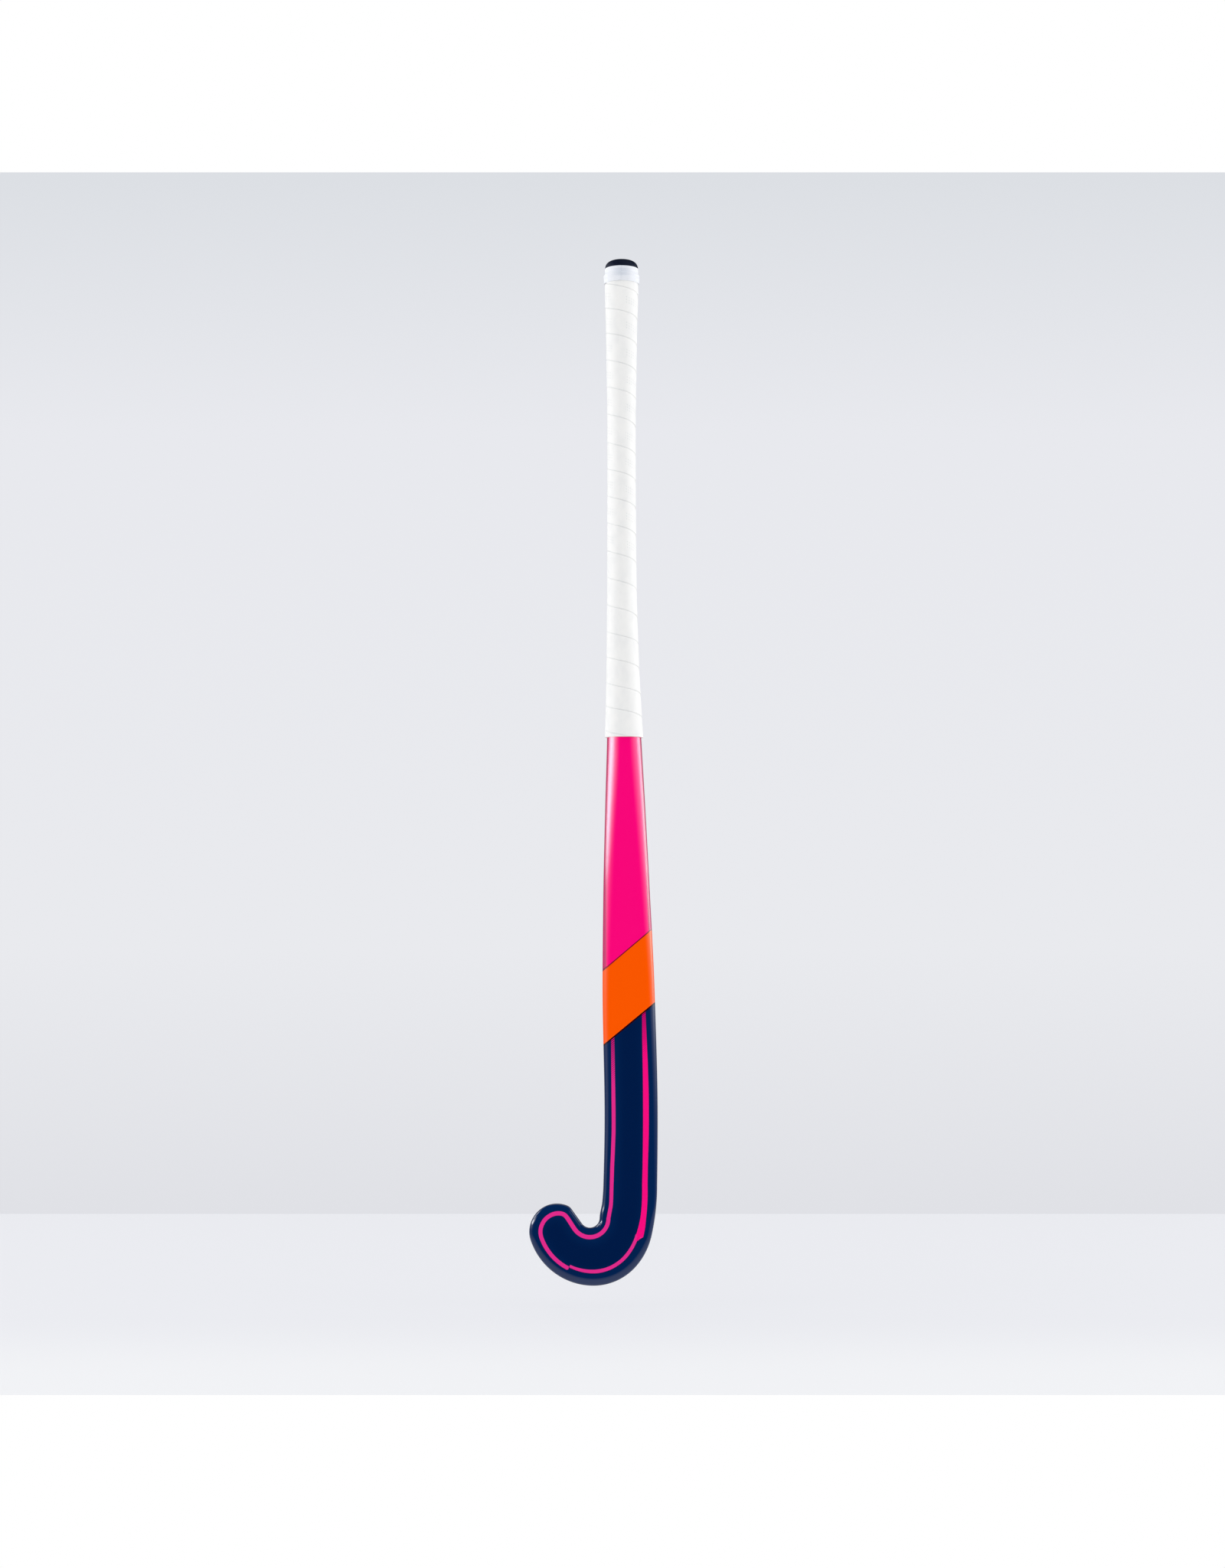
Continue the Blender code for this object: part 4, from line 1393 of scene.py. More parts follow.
@dataclass
class EndCap:
    """Domed rubber cap on the butt, with a nub, a flange over the laminate and a spigot."""

    body: StickBody
    flange_radius: float = 0.01335
    lip_radius: float = 0.0142
    lip_foot_rise: float = 0.0023
    dome_radius: float = 0.01500
    swell: float = 0.0006
    sink: float = 0.0009
    dome_foot_rise: float = 0.0070
    flatness: float = 2.9
    spigot_radius: float = 0.0060
    spigot_length: float = 0.020
    chamfer: float = 0.0010
    nub_radius: float = 0.0008
    nub_height: float = 0.0003
    nub_bevel: float = 0.00008
    nub_shares: tuple[float, ...] = (1.5, 1.0, 0.9, 0.6)
    dome_end_share: float = 1.6
    seat_gap: float = 0.0003
    dome_steps: int = 16
    points: int = 96
    smooth_angle: float = math.radians(40)
    rubber: RubberFinish = RubberFinish("cap_rubber", roughness=0.58, specular=0.10)

    def profile(self) -> list[Pair]:
        """Radius and height of the cap's outline from its spigot up to the nub."""
        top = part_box(Node.CAP)[1].z + HOLD_HEIGHT - self.sink
        crown = top - self.nub_height
        seat = self.body.handle_top + self.seat_gap
        end = seat - self.spigot_length
        lip_foot = self.body.handle_top + self.lip_foot_rise
        dome_foot = self.body.handle_top + self.dome_foot_rise
        line = [
            (self.spigot_radius - self.chamfer, end),
            (self.spigot_radius, end + self.chamfer),
            (self.spigot_radius, seat),
            (self.flange_radius, seat),
            (self.flange_radius, lip_foot),
            (self.lip_radius, lip_foot),
            (self.lip_radius, dome_foot - self.swell),
        ]
        for turn in spread(QUARTER, self.dome_steps):
            radius = self.dome_radius * math.cos(turn) ** (2 / self.flatness)
            rise = (crown - dome_foot) * math.sin(turn) ** (2 / self.flatness)
            if radius >= self.dome_end_share * self.nub_radius:
                line.append((radius, dome_foot + rise))
        levels = (crown, crown + self.nub_bevel, top - self.nub_bevel, top)
        nub = [(share * self.nub_radius, level) for share, level in zip(self.nub_shares, levels)]
        return line + nub

    def build(self) -> None:
        """Turns the cap's outline round the handle's axis and dresses it."""
        turns = spread(math.tau, self.points)
        around = self.body.around
        rings = [[around(radius, turn, top) for turn in turns] for radius, top in self.profile()]
        cap = loft("rubber_cap", rings)
        cap.data.materials.append(self.rubber.material())
        smooth(cap, self.smooth_angle)
        place_piece(cap, Slot.RUBBER, Node.CAP)


@dataclass(frozen=True)
class CushionFinish(Finish):
    """Soft white cushioned film with a faint grain, pores and small pressed marks.

    The sizes of the marks are in millimetres. The shade along the seams fades past the middle.
    """

    colour: Colour = screen_colour(240, 240, 239)
    mottle_and_shade: Colour = screen_colour(221, 223, 225)
    mottle: Noise = Noise(120.0, 4.0, 0.55, (1.0, 1.0, 0.6))
    mottle_span: Pair = (0.30, 0.80)
    grain: Noise = Noise(900.0, 3.0)
    pore_scale: float = 1900.0
    pore_span: Pair = (0.06, 0.22)
    seam_shade_fade: Pair = (0.0, 0.005)
    seam_shade_loss: float = 0.8
    mottle_tone: float = 0.35
    pore_tone: float = 0.20
    seam_shade_tone: float = 0.42
    mark_tone: float = 0.5
    grain_relief: float = 0.6
    mottle_relief: float = 0.5
    pore_relief: float = 0.5
    mark_relief: float = 1.6
    relief: float = 0.00006
    mark_pitch: float = 2.4
    mark_edge: Pair = (0.35, 0.75)
    mark_band: tuple[Pair, Pair] = ((7.2, 7.8), (14.2, 14.8))
    group_pitch: float = 28.7
    group_start: Pair = (0.42, 0.46)
    marked_from: Pair = (640.0, 680.0)

    def surface(self, shader: Shader) -> dict[str, Value]:
        """Slight mottling, fine pores, pressed marks, a soft grain and painted shade along the seams.
        """
        position = shader.position()
        x, _, _ = shader.axes(position)
        mottle, grain = self.mottle.over(shader, position), self.grain.over(shader, position)
        pore = 1 - shader.rise(shader.cells(position, self.pore_scale), *self.pore_span)
        # Painted shade along the lap seams, fading out towards the brighter side.
        seam_shade = shader.attribute("seam_shade") * (1 - shader.rise(x, *self.seam_shade_fade) * self.seam_shade_loss)
        marks = self.marks(shader)
        tone = shader.rise(mottle, *self.mottle_span) * self.mottle_tone + pore * self.pore_tone
        tone = tone + seam_shade * self.seam_shade_tone + marks * self.mark_tone
        relief = grain * self.grain_relief + mottle * self.mottle_relief
        relief = relief - pore * self.pore_relief - marks * self.mark_relief
        return {
            "Base Color": shader.mix(tone, self.colour, self.mottle_and_shade),
            "Normal": shader.bump(relief, self.relief),
        }

    def marks(self, shader: Shader) -> Socket:
        """Groups of small pressed dots along the middle of the upper turns."""
        along, wound = shader.attribute("along"), shader.attribute("wound")
        pitch = self.mark_pitch
        across = (shader.math("FRACT", along * (1 / pitch)) - 0.5) * pitch
        onward = (shader.math("FRACT", wound * (1 / pitch)) - 0.5) * pitch
        off = shader.math("SQRT", across * across + onward * onward)
        dot = 1 - shader.rise(off, *self.mark_edge)
        low, high = self.mark_band
        band = shader.rise(along, *low) * (1 - shader.rise(along, *high))
        turn = shader.math("FRACT", wound * (1 / self.group_pitch))
        group = shader.rise(turn, *self.group_start)
        return dot * band * group * shader.rise(wound, *self.marked_from)


@dataclass
class WoundGrip:
    """Cushioned tape wound up the handle, each turn lapped over the one below."""

    body: StickBody
    foot: float = field(default_factory=lambda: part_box(Node.GRIP)[0].z + HOLD_HEIGHT)
    top: float = field(default_factory=lambda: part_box(Node.GRIP)[1].z + HOLD_HEIGHT)
    foot_drop: float = 0.0016
    pitch: float = 0.0240
    lap: float = 0.0040
    lap_run: float = 0.0012
    raise_turns: Pair = (0.90, 0.98)
    stretch_span: Pair = (0.005, 0.019)
    seam_shade_reach: Pair = (0.0006, 0.0009)
    thickness: float = 0.0018
    ridge: float = 0.00190
    dip: float = 0.00160
    dip_run: float = 0.0016
    tuck: float = 0.0008
    tuck_run: float = 0.0012
    clearance: float = 0.0003
    self_gap: float = 0.00010
    lip_round: float = 0.0007
    bevel_run: float = 0.0045
    start_angle: float = math.radians(-70)
    steps_per_turn: int = 72
    outer_places: tuple[float, ...] = (
        0.0, 0.0001, 0.0003, 0.0007, 0.0013, 0.0022, 0.0034, 0.0050, 0.0075, 0.0105, 0.0135,
        0.0165, 0.0190, 0.0210, 0.0222, 0.0230, 0.0236, 0.0240, 0.0244, 0.0249, 0.0256, 0.0280,
    )
    inner_places: tuple[float, ...] = (0.0, 0.0020, 0.0040, 0.0046, 0.0052, 0.0100, 0.0190, 0.0280)
    cut_step: float = 0.00004
    girth: float = 0.086
    first_front: float = 2.0556
    strays: tuple[float, ...] = (
        -1.5, -5.0, -5.2, -6.6, -6.5, -5.7, -5.7, -4.3, -4.2, -3.5, -4.1, -2.3, -1.6, -1.2, -0.8,
        -1.9, -4.0,
    )
    smooth_angle: float = math.radians(60)
    cushion: CushionFinish = CushionFinish("grip_cushion", roughness=0.55, specular=0.11)

    def __post_init__(self) -> None:
        """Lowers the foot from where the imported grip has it."""
        self.foot -= self.foot_drop

    def lower_at(self, turns: float) -> float:
        """Height of the strip's lower edge, which strays a little from an even winding."""
        fronts = [1.0, *(self.first_front + number for number in range(len(self.strays)))]
        stray = float(np.interp(turns, fronts, (0.0, *self.strays))) * MILLIMETRE
        return self.foot + self.pitch * (turns - 1) + stray

    def outer_off(self, along: float, raised: float, tucked: float, pitch: float) -> float:
        """Height of the strip's outer side off the handle.

        Args:
            along: Distance from the strip's lower edge.
            raised: 1 where a turn lies below this one, 0 on the first turn.
            tucked: 1 where a turn lies over this one, 0 on the last turn.
            pitch: Distance up to the next turn's lower edge.

        Returns:
            The height.
        """
        crest = self.thickness + raised * (self.ridge - self.thickness)
        edge = self.edge_off(raised)
        if along < self.lip_round:
            share = along / self.lip_round
            return edge + (crest - edge) * math.sqrt(1 - (1 - share) ** 2)
        off = crest + (self.thickness - crest) * smooth_step(along, self.lip_round, self.bevel_run)
        dip = smooth_step(along, pitch - self.dip_run, pitch)
        under = smooth_step(along, pitch - self.dip_run / 4, pitch + self.tuck_run)
        off -= tucked * dip * (self.thickness - self.dip)
        return off - tucked * under * (self.dip - self.tuck)

    def edge_off(self, raised: float) -> float:
        """Height of the strip's lower edge off the handle."""
        return self.clearance + raised * (self.dip + self.self_gap - self.clearance)

    def inner_off(self, along: float, raised: float) -> float:
        """Height of the strip's inner side off the handle."""
        over = self.tuck
        if along < self.lap:
            over = self.outer_off(along + self.pitch, 0.0, 1.0, self.pitch)
        lift = over + self.self_gap
        share = raised * (1 - smooth_step(along, self.lap, self.lap + self.lap_run))
        return self.clearance + share * (lift - self.clearance)

    def clipped(self, places: Sequence[float], low: float, high: float) -> list[float]:
        """Places along the strip's width, drawn in between a low and a high end."""
        count = len(places)
        kept = []
        for index, along in enumerate(places):
            along = max(along, low + self.cut_step * index)
            kept.append(min(along, high - self.cut_step * (count - 1 - index)))
        return kept

    def strip(self, turns: float, last: float) -> list[Pair]:
        """Section of the strip as height and distance off the handle.

        Args:
            turns: Turns wound so far.
            last: Turns of the whole winding.

        Returns:
            The section's points, up its outer side and down its inner side.
        """
        lower = self.lower_at(turns)
        pitch = self.lower_at(turns + 1) - lower
        low = max(self.foot - lower, 0.0)
        high = min(pitch + self.lap, self.top - lower)
        start, end = self.raise_turns
        raised = smooth_step(turns, start, end)
        tucked = 1 - smooth_step(turns, last - end, last - start)
        extra = pitch - self.pitch
        stretch = self.stretch_span
        places = [along + extra * smooth_step(along, *stretch) for along in self.outer_places]
        outer = self.clipped(places, low, high)
        inner = self.clipped(self.inner_places, low, high)[::-1]
        points = [(lower + along, self.outer_off(along, raised, tucked, pitch)) for along in outer]
        return points + [(lower + along, self.inner_off(along, raised)) for along in inner]

    def on_handle(self, angle: float, height: float, off: float) -> Vector:
        """Point at an angle round the handle and a distance off its surface."""
        station = self.body.station_at(height)
        middle = (station.heel_side - station.toe_side) / 2
        half = (station.heel_side + station.toe_side) / 2
        across = middle + (half + off) * math.cos(angle)
        return self.body.place(across, (station.depth / 2 + off) * math.sin(angle), height)

    def build(self) -> None:
        """Winds the strip round the handle and dresses it."""
        last = (self.top - self.foot - self.lap) / self.pitch + 1
        steps = math.floor(last * self.steps_per_turn)
        own_reach, next_reach = self.seam_shade_reach
        rings, rows = [], []
        for step in range(steps + 1):
            turns = step / self.steps_per_turn
            angle = self.start_angle - math.tau * turns
            strip = self.strip(turns, steps / self.steps_per_turn)
            rings.append([self.on_handle(angle, height, off) for height, off in strip])
            lower = self.lower_at(turns)
            pitch = self.lower_at(turns + 1) - lower
            for height, _ in strip:
                along = height - lower
                # Closeness to the lap seams, where the cushion's finish paints shade.
                seam_shade = max(1 - abs(along) / own_reach, 1 - abs(along - pitch) / next_reach, 0.0)
                rows.append((seam_shade, along / MILLIMETRE, turns * self.girth / MILLIMETRE))
        kept = dict(zip(("seam_shade", "along", "wound"), np.array(rows).T))
        grip = loft("wound_grip", rings, kept)
        grip.data.materials.append(self.cushion.material())
        smooth(grip, self.smooth_angle)
        place_piece(grip, Slot.CUSHION, Node.GRIP)


@dataclass(frozen=True)
class RibbedTapeFinish(Finish):
    """Thin elastic tape with fine ribs along its length."""

    colour: Colour = screen_colour(240, 242, 247)
    groove_and_shade: Colour = screen_colour(200, 207, 219)
    rib_pitch: float = 0.00062
    rib_tone: float = 0.25
    rib_relief: float = 0.7
    fuzz: Noise = Noise(700.0, 3.0, stretch=(1.0, 1.0, 4.0))
    fuzz_span: Pair = (0.35, 0.75)
    fuzz_tone: float = 0.20
    fuzz_relief: float = 0.5
    # Painted shade by height across the front of the tape, with a lighter line at the crease.
    front_shade_by_height: Curve = (
        (0.2045, 0.08), (0.2078, 0.15), (0.2092, 0.53), (0.2150, 0.55),
        (0.2158, 0.18), (0.2168, 0.18), (0.2175, 0.62), (0.2216, 0.62),
    )
    front_shade_fade: Pair = (0.002, 0.011)
    relief: float = 0.00005

    def surface(self, shader: Shader) -> dict[str, Value]:
        """Ribs round the handle, softened by a fine weave, and painted shade in bands across the
        front, fading towards the sides and broken by one lighter crease.
        """
        position = shader.position()
        x, _, z = shader.axes(position)
        rib = shader.math("SINE", z * (math.tau / self.rib_pitch)) * 0.5 + 0.5
        fuzz = self.fuzz.over(shader, position)
        # The painted shade fades out towards the brighter sides.
        middle = 1 - shader.rise(abs(x), *self.front_shade_fade)
        tone = (1 - rib) * self.rib_tone + shader.rise(fuzz, *self.fuzz_span) * self.fuzz_tone
        tone = tone + shader.curve(z, self.front_shade_by_height) * middle
        relief = rib * self.rib_relief + fuzz * self.fuzz_relief
        return {
            "Base Color": shader.mix(tone, self.colour, self.groove_and_shade),
            "Normal": shader.bump(relief, self.relief),
        }


@dataclass
class FinishingTape:
    """Tape once round the grip's end and the cap's lip, its end lapped over its start in front."""

    body: StickBody
    foot: float = field(default_factory=lambda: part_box(Node.TAPE)[0].z + HOLD_HEIGHT)
    top: float = field(default_factory=lambda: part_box(Node.TAPE)[1].z + HOLD_HEIGHT)
    band_radius: float = 0.01615
    lip_band_radius: float = 0.01505
    foot_radius: float = 0.01570
    foot_run: float = 0.0045
    shoulder_rise: float = 0.0026
    shoulder_run: float = 0.0016
    thickness: float = 0.0004
    lap_angle: float = math.radians(9)
    lap_rise: float = 0.00035
    seam_angle: float = math.radians(-102)
    steps: int = 168
    rows: int = 28
    smooth_angle: float = math.radians(40)
    ribbed: RibbedTapeFinish = RibbedTapeFinish("finishing_tape", roughness=0.5, specular=0.14)

    def radius_at(self, height: float) -> float:
        """Outer radius of the tape at a height: over the grip below, over the cap's lip above."""
        shoulder = self.body.handle_top + self.shoulder_rise
        half_run = self.shoulder_run / 2
        share = smooth_step(height, shoulder - half_run, shoulder + half_run)
        drawn_in = 1 - smooth_step(height, self.foot, self.foot + self.foot_run)
        radius = self.band_radius + (self.lip_band_radius - self.band_radius) * share
        return radius + (self.foot_radius - self.band_radius) * drawn_in

    def build(self) -> None:
        """Wraps the tape, one end on the other, and dresses it."""
        rings = []
        span = math.tau + self.lap_angle
        rises = spread(self.top - self.foot, self.rows, closed=True)
        for turned in spread(span, self.steps, closed=True):
            angle = self.seam_angle + turned
            lift = self.lap_rise * smooth_step(turned, span - 2 * self.lap_angle, span)
            outer = [(self.radius_at(self.foot + rise) + lift, self.foot + rise) for rise in rises]
            inner = [(radius - self.thickness, height) for radius, height in reversed(outer)]
            line = outer + inner
            rings.append([self.body.around(radius, angle, height) for radius, height in line])
        tape = loft("tape_band", rings)
        tape.data.materials.append(self.ribbed.material())
        smooth(tape, self.smooth_angle)
        place_piece(tape, Slot.TAPE, Node.TAPE)


# Pieces inside the laminate


@dataclass(frozen=True)
class FoamFinish(Finish):
    """Rigid foam with open cells."""

    colour: Colour = screen_colour(231, 220, 186)
    cell: Colour = screen_colour(196, 180, 138)
    cell_scales: Pair = (700.0, 1700.0)
    large_share: float = 0.7
    cell_span: Pair = (0.1, 0.6)
    relief: float = 0.0004

    def surface(self, shader: Shader) -> dict[str, Value]:
        """Open cells of two sizes."""
        position = shader.position()
        large, small = (shader.cells(position, scale) for scale in self.cell_scales)
        relief = large * self.large_share + small * (1 - self.large_share)
        wall = shader.rise(relief, *self.cell_span)
        return {
            "Base Color": shader.mix(wall, self.cell, self.colour),
            "Normal": shader.bump(relief, self.relief),
        }


@dataclass(frozen=True)
class WoodFinish(Finish):
    """Sanded wood with its grain along the handle."""

    early: Colour = screen_colour(214, 188, 146)
    late: Colour = screen_colour(168, 132, 88)
    rings: Noise = Noise(420.0, 2.0, 0.4, (1.0, 1.0, 0.06))
    ring_span: Pair = (0.42, 0.60)
    ring_share: float = 0.8
    pores: Noise = Noise(3200.0, 2.0, stretch=(1.0, 1.0, 0.06))
    pore_span: Pair = (0.55, 0.75)
    relief: float = 0.00008

    def surface(self, shader: Shader) -> dict[str, Value]:
        """Growth rings drawn out along the handle, with fine pores."""
        position = shader.position()
        rings, pores = self.rings.over(shader, position), self.pores.over(shader, position)
        tone = shader.rise(rings, *self.ring_span) * self.ring_share
        tone = tone + shader.rise(pores, *self.pore_span) * (1 - self.ring_share)
        return {
            "Base Color": shader.mix(tone, self.early, self.late),
            "Normal": shader.bump(pores, self.relief),
        }


@dataclass
class InnerPieces:
    """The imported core, rib and plug, which keep their shapes and get full finishes."""

    foam: FoamFinish = FoamFinish("core_foam", roughness=0.9)
    rib: BareLaminateFinish = BareLaminateFinish("rib_laminate", roughness=0.45)
    wood: WoodFinish = WoodFinish("plug_wood", roughness=0.7)

    def dress(self) -> None:
        """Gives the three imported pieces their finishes."""
        finishes = {Node.CORE: self.foam, Node.RIB: self.rib, Node.PLUG: self.wood}
        for node, finish in finishes.items():
            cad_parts[node.value].material_slots[0].material = finish.material()
            LOG.info("%s: %s", node.value, finish.name)


# Studio


def hide_from(obj: bpy.types.Object, *rays: str) -> None:
    """Keeps an object out of some kinds of light ray."""
    for ray in rays:
        setattr(obj, "visible_" + ray, False)


@dataclass(frozen=True)
class Lamp:
    """A soft lamp that shows in no reflection: its place, width and height, and watts."""

    name: str
    place: Triple
    size: Pair
    watts: float

    def add(self, target: Vector) -> None:
        """Adds the lamp, turned to a target."""
        bpy.ops.object.light_add(type="AREA", location=self.place)
        lamp = bpy.context.active_object
        lamp.name = self.name
        lamp.data.shape = "RECTANGLE"
        lamp.data.size, lamp.data.size_y = self.size
        lamp.data.energy = self.watts
        direction = target - Vector(self.place)
        lamp.rotation_euler = direction.to_track_quat("-Z", "Y").to_euler()
        hide_from(lamp, "glossy", "camera")


@dataclass(frozen=True)
class SoftBox:
    """Light in the gloss: by the angle from the front, in degrees, and by the height."""

    by_angle: Curve
    by_height: Curve

    def light(self, shader: Shader, angle: Socket, height: Socket) -> Socket:
        """Strength of the light at a place on the ring round the stick."""
        return shader.curve(angle, self.by_angle) * shader.curve(height, self.by_height)


@dataclass
class Studio:
    """Pale floor and backdrop, soft lamps and the camera."""

    image_height: int = 2048
    focal_pixels: float = 3425.0
    sensor: float = 36.0
    camera_place: Triple = (-0.0082, -2.3674, -0.400)
    pitch: float = math.radians(2.0)
    shift: float = 0.04796
    lamp_target: Triple = (0.0, 0.0, -0.25)
    lamps: tuple[Lamp, ...] = (
        Lamp("left_lamp", (-2.89, -0.88, 0.2), (1.4, 2.4), 41.0),
        Lamp("right_lamp", (2.89, -0.88, 0.2), (1.4, 2.4), 43.0),
        Lamp("top_lamp", (0.0, -0.4, 2.2), (2.4, 2.0), 10.0),
    )
    world_level: float = 0.708
    floor_by_rise: Curve = ((-0.50, 0.85), (-0.28, 0.80), (-0.14, 0.45), (-0.04, 0.0))
    left_box: SoftBox = SoftBox(
        by_angle=(
            (24.0, 0.0), (32.0, 0.6), (40.0, 1.8), (48.0, 3.4), (58.0, 7.2), (64.0, 10.2),
            (70.0, 13.6), (76.0, 15.6), (83.0, 16.5), (90.0, 14.6), (99.0, 9.8), (109.0, 4.7),
            (122.0, 0.9), (135.0, 0.0),
        ),
        by_height=(
            (-0.600, 0.030), (-0.540, 0.045), (-0.410, 0.080), (-0.347, 0.110), (-0.303, 0.135),
            (-0.280, 0.160), (-0.250, 0.200), (-0.235, 0.270), (-0.218, 0.520), (-0.205, 0.630),
            (-0.180, 0.800), (-0.154, 1.000), (0.050, 1.000), (0.180, 0.300), (0.450, 0.250),
            (0.850, 0.000),
        ),
    )
    high_box: SoftBox = SoftBox(
        by_angle=((94.0, 0.0), (106.0, 5.0), (120.0, 5.0), (134.0, 0.0)),
        by_height=((0.05, 0.0), (0.25, 1.0), (1.2, 1.0), (1.7, 0.0)),
    )
    right_box: SoftBox = SoftBox(
        by_angle=(
            (30.0, 0.0), (38.0, 0.3), (50.0, 1.0), (60.0, 1.9), (72.0, 2.9), (78.0, 4.0),
            (85.0, 5.8), (93.0, 8.2), (102.0, 8.5), (112.0, 7.4), (126.0, 2.2), (138.0, 0.0),
        ),
        by_height=(
            (-0.600, 0.030), (-0.540, 0.045), (-0.410, 0.190), (-0.347, 0.400), (-0.303, 0.440),
            (-0.211, 0.700), (-0.154, 1.000), (0.450, 1.000), (0.850, 0.000),
        ),
    )
    back_by_angle: Curve = ((112.0, 0.0), (140.0, 0.30), (180.0, 0.30))
    ring_radius: float = 2.0
    ring_points: int = 96
    ring_span: Pair = (-0.85, 1.8)
    ring_middle: float = 0.02
    room: tuple[float, float, float, float] = (-1.05, 1.05, -0.465, 0.837)
    room_corner: float = 0.25
    corner_steps: int = 8
    floor_level: float = -0.720
    floor_colour: Colour = screen_colour(86, 87, 88)
    floor_glow: tuple[Colour, Colour] = (screen_colour(227, 228, 231), screen_colour(220, 221, 226))
    floor_glow_span: Pair = (-0.4, -0.05)
    wall_top: float = 0.560
    wall_stops: tuple[tuple[float, Colour], ...] = (
        (0.0, screen_colour(224, 225, 230)),
        (0.25, screen_colour(233, 234, 238)),
        (0.75, screen_colour(232, 233, 238)),
        (1.0, screen_colour(220, 223, 228)),
    )

    def camera(self) -> None:
        """Sets up the camera at the photograph's viewing angle."""
        tilt = (QUARTER + self.pitch, 0.0, 0.0)
        bpy.ops.object.camera_add(location=self.camera_place, rotation=tilt)
        camera = bpy.context.active_object
        camera.data.sensor_fit = "VERTICAL"
        camera.data.sensor_height = self.sensor
        camera.data.lens = self.sensor * self.focal_pixels / self.image_height
        camera.data.shift_y = self.shift
        bpy.context.scene.camera = camera

    def world(self) -> None:
        """Even light for matt surfaces, a studio for gloss, and white behind everything."""
        world = bpy.data.worlds.new("studio")
        bpy.context.scene.world = world
        world.use_nodes = True
        world.cycles.sampling_method = "NONE"
        shader = Shader(world.node_tree)
        camera_ray = shader.node("ShaderNodeLightPath", {}, {}, "Is Camera Ray")
        glossy_ray = shader.node("ShaderNodeLightPath", {}, {}, "Is Glossy Ray")
        _, _, z = shader.axes(shader.node("ShaderNodeTexCoord", {}, {}, "Generated"))
        pale_floor = shader.curve(z, self.floor_by_rise)
        plain = glossy_ray * pale_floor + (1 - glossy_ray) * self.world_level
        strength = camera_ray + (1 - camera_ray) * plain
        shader.fill("Background", {"Strength": strength, "Color": (1.0, 1.0, 1.0)})

    def soft_boxes(self) -> None:
        """Ring of light round the stick that only gloss reflects."""
        foot, top = self.ring_span
        bpy.ops.mesh.primitive_cylinder_add(
            vertices=self.ring_points,
            radius=self.ring_radius,
            depth=top - foot,
            end_fill_type="NOTHING",
            location=(0.0, 0.0, (foot + top) / 2),
        )
        bpy.ops.object.transform_apply(location=True, rotation=False, scale=False)
        ring = bpy.context.active_object
        ring.name = "studio_soft_boxes"
        material, shader = new_material("soft_boxes")
        material.cycles.emission_sampling = "NONE"
        x, y, z = shader.axes(shader.position())
        angle = shader.math("ARCTAN2", abs(x), 0 - y) * (180 / math.pi)
        right = shader.rise(x, -self.ring_middle, self.ring_middle)
        boxes = (self.left_box, self.high_box, self.right_box)
        left_light, high_light, right_light = (box.light(shader, angle, z) for box in boxes)
        light = (left_light + high_light) * (1 - right) + right_light * right
        light = light + shader.curve(angle, self.back_by_angle)
        glow = shader.node("ShaderNodeEmission", {}, {"Color": light})
        shader.fill("Material Output", {"Surface": glow})
        ring.data.materials.append(material)
        hide_from(ring, "camera", "diffuse", "transmission", "volume_scatter", "shadow")

    def room_line(self) -> list[Pair]:
        """Plan of the room: a rectangle with rounded corners."""
        left, right, near, far = self.room
        radius = self.room_corner
        centres = (
            (right - radius, far - radius),
            (left + radius, far - radius),
            (left + radius, near + radius),
            (right - radius, near + radius),
        )
        line = []
        for corner, (x, y) in enumerate(centres):
            for turn in spread(QUARTER, self.corner_steps, closed=True):
                offset = radius * heading(corner * QUARTER + turn)
                line.append((x + offset.x, y + offset.y))
        return line

    def floor(self) -> None:
        """Pale floor that keeps the stick's shadow."""
        line = self.room_line()
        bpy.ops.mesh.primitive_circle_add(vertices=len(line), fill_type="NGON")
        floor = bpy.context.active_object
        floor.name = "studio_floor"
        places = [value for x, y in line for value in (x, y, self.floor_level)]
        floor.data.vertices.foreach_set("co", places)
        material, shader = new_material("floor")
        _, y, _ = shader.axes(shader.position())
        inputs = {
            "Emission Color": shader.mix(shader.rise(y, *self.floor_glow_span), *self.floor_glow),
            "Emission Strength": 1.0,
            "Base Color": self.floor_colour,
            "Roughness": 0.9,
            "Specular IOR Level": 0.1,
        }
        shader.fill("Principled BSDF", inputs)
        floor.data.materials.append(material)
        hide_from(floor, "glossy")

    def wall(self) -> None:
        """Backdrop that only the camera sees, whose near side lets the view through."""
        line = self.room_line()
        bpy.ops.mesh.primitive_circle_add(vertices=len(line), fill_type="NOTHING")
        wall = bpy.context.active_object
        wall.name = "studio_backdrop"
        with editing(wall):
            bpy.ops.mesh.extrude_repeat(steps=1, offset=(0.0, 0.0, 1.0))
        levels = (self.floor_level, self.wall_top)
        places = [(x, y, level) for level in levels for x, y in line]
        wall.data.vertices.foreach_set("co", np.ravel(places))
        with editing(wall):
            bpy.ops.mesh.normals_make_consistent(inside=True)
        material, shader = new_material("backdrop")
        _, _, z = shader.axes(shader.position())
        share = (z - self.floor_level) * (1 / (self.wall_top - self.floor_level))
        colour = shader.node("ShaderNodeValToRGB", {"stops": self.wall_stops}, {0: share})
        glow = shader.node("ShaderNodeEmission", {}, {"Color": colour})
        clear = shader.node("ShaderNodeBsdfTransparent", {}, {})
        back = shader.node("ShaderNodeNewGeometry", {}, {}, "Backfacing")
        mixed = shader.node("ShaderNodeMixShader", {}, {0: back, 1: glow, 2: clear})
        shader.fill("Material Output", {"Surface": mixed})
        wall.data.materials.append(material)
        hide_from(wall, "diffuse", "glossy", "transmission", "shadow")

    def build(self) -> None:
        """Sets up the whole studio."""
        self.camera()
        for lamp in self.lamps:
            lamp.add(Vector(self.lamp_target))
        self.world()
        self.soft_boxes()
        self.floor()
        self.wall()
        bpy.context.scene.view_settings.view_transform = "Standard"


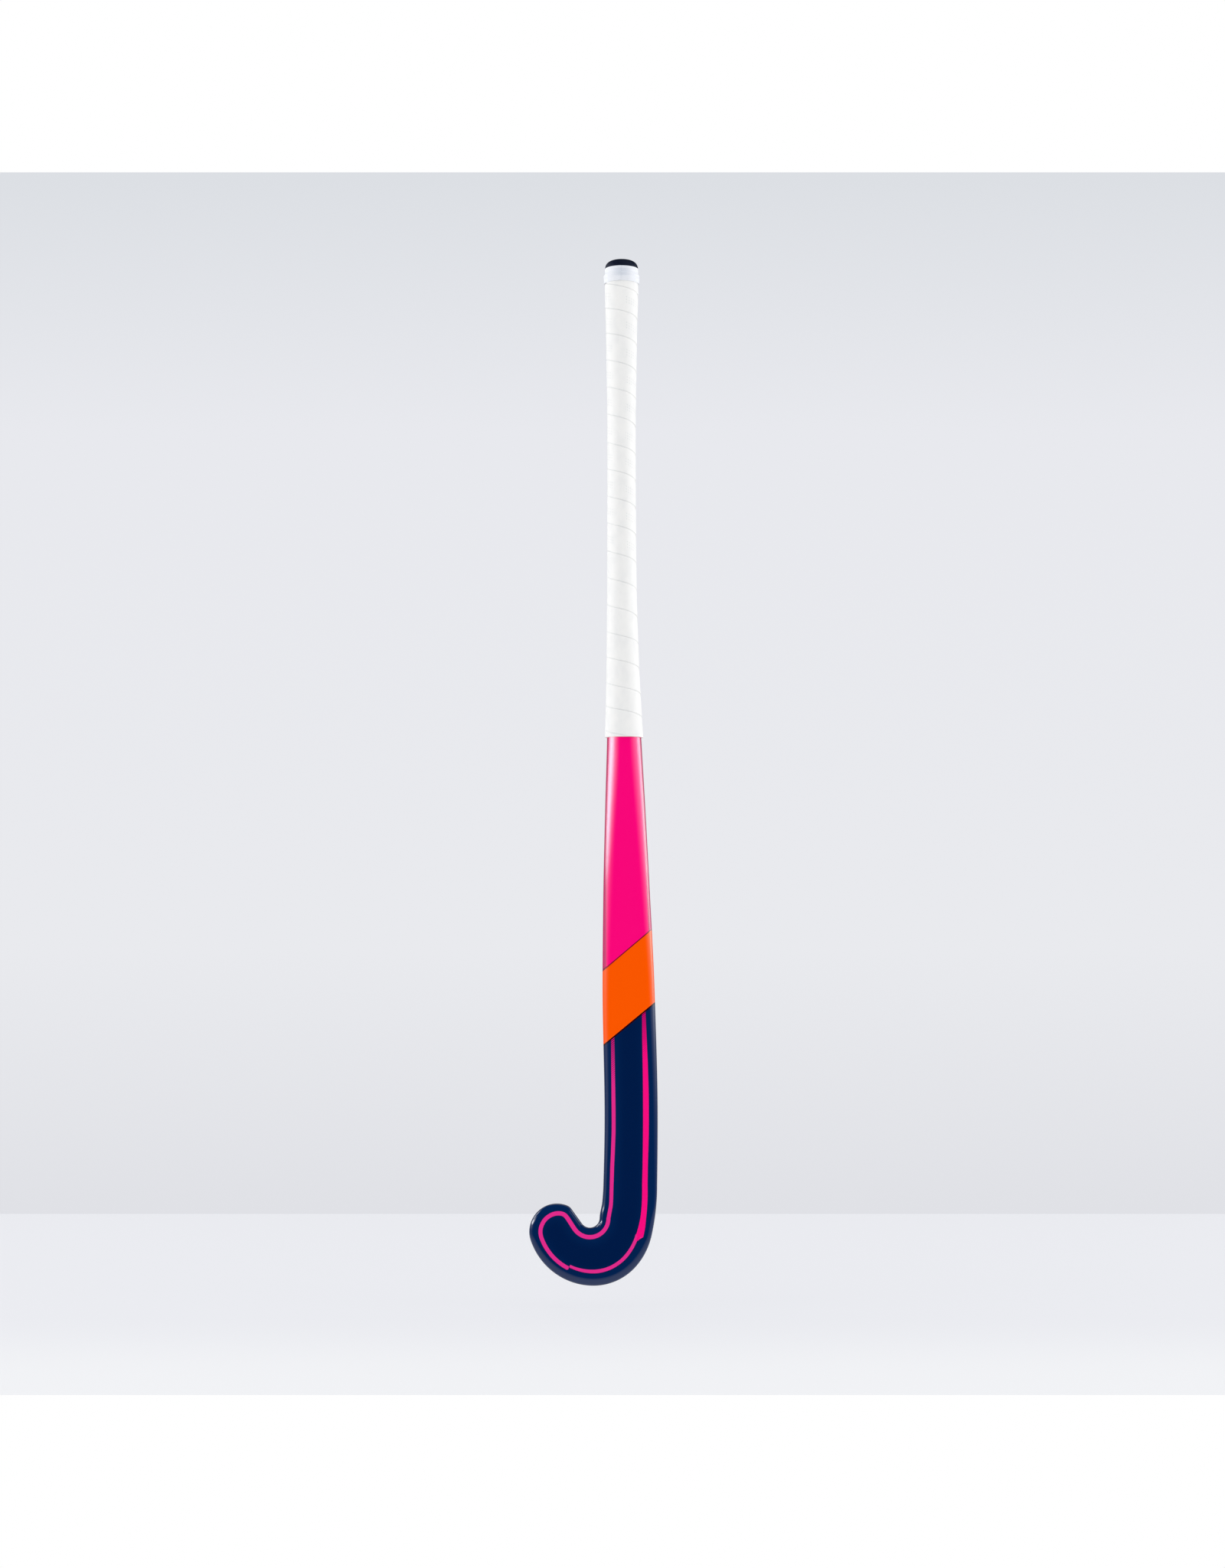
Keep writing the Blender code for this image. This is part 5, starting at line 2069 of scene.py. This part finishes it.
def main() -> None:
    """Builds and dresses the stick, then its studio."""
    logging.basicConfig(level=logging.INFO, format="%(name)s: %(message)s")
    body = StickBody()
    stripes = StripePlan(StickBody(head=HeadOutline(toe_corner_radius=STRIPE_CORNER_RADIUS)))
    PaintedLaminate(body, stripes).build()
    HeelStrip(body).build(stripes)
    EndCap(body).build()
    WoundGrip(body).build()
    FinishingTape(body).build()
    InnerPieces().dress()
    Studio().build()


if __name__ == "__main__":
    main()
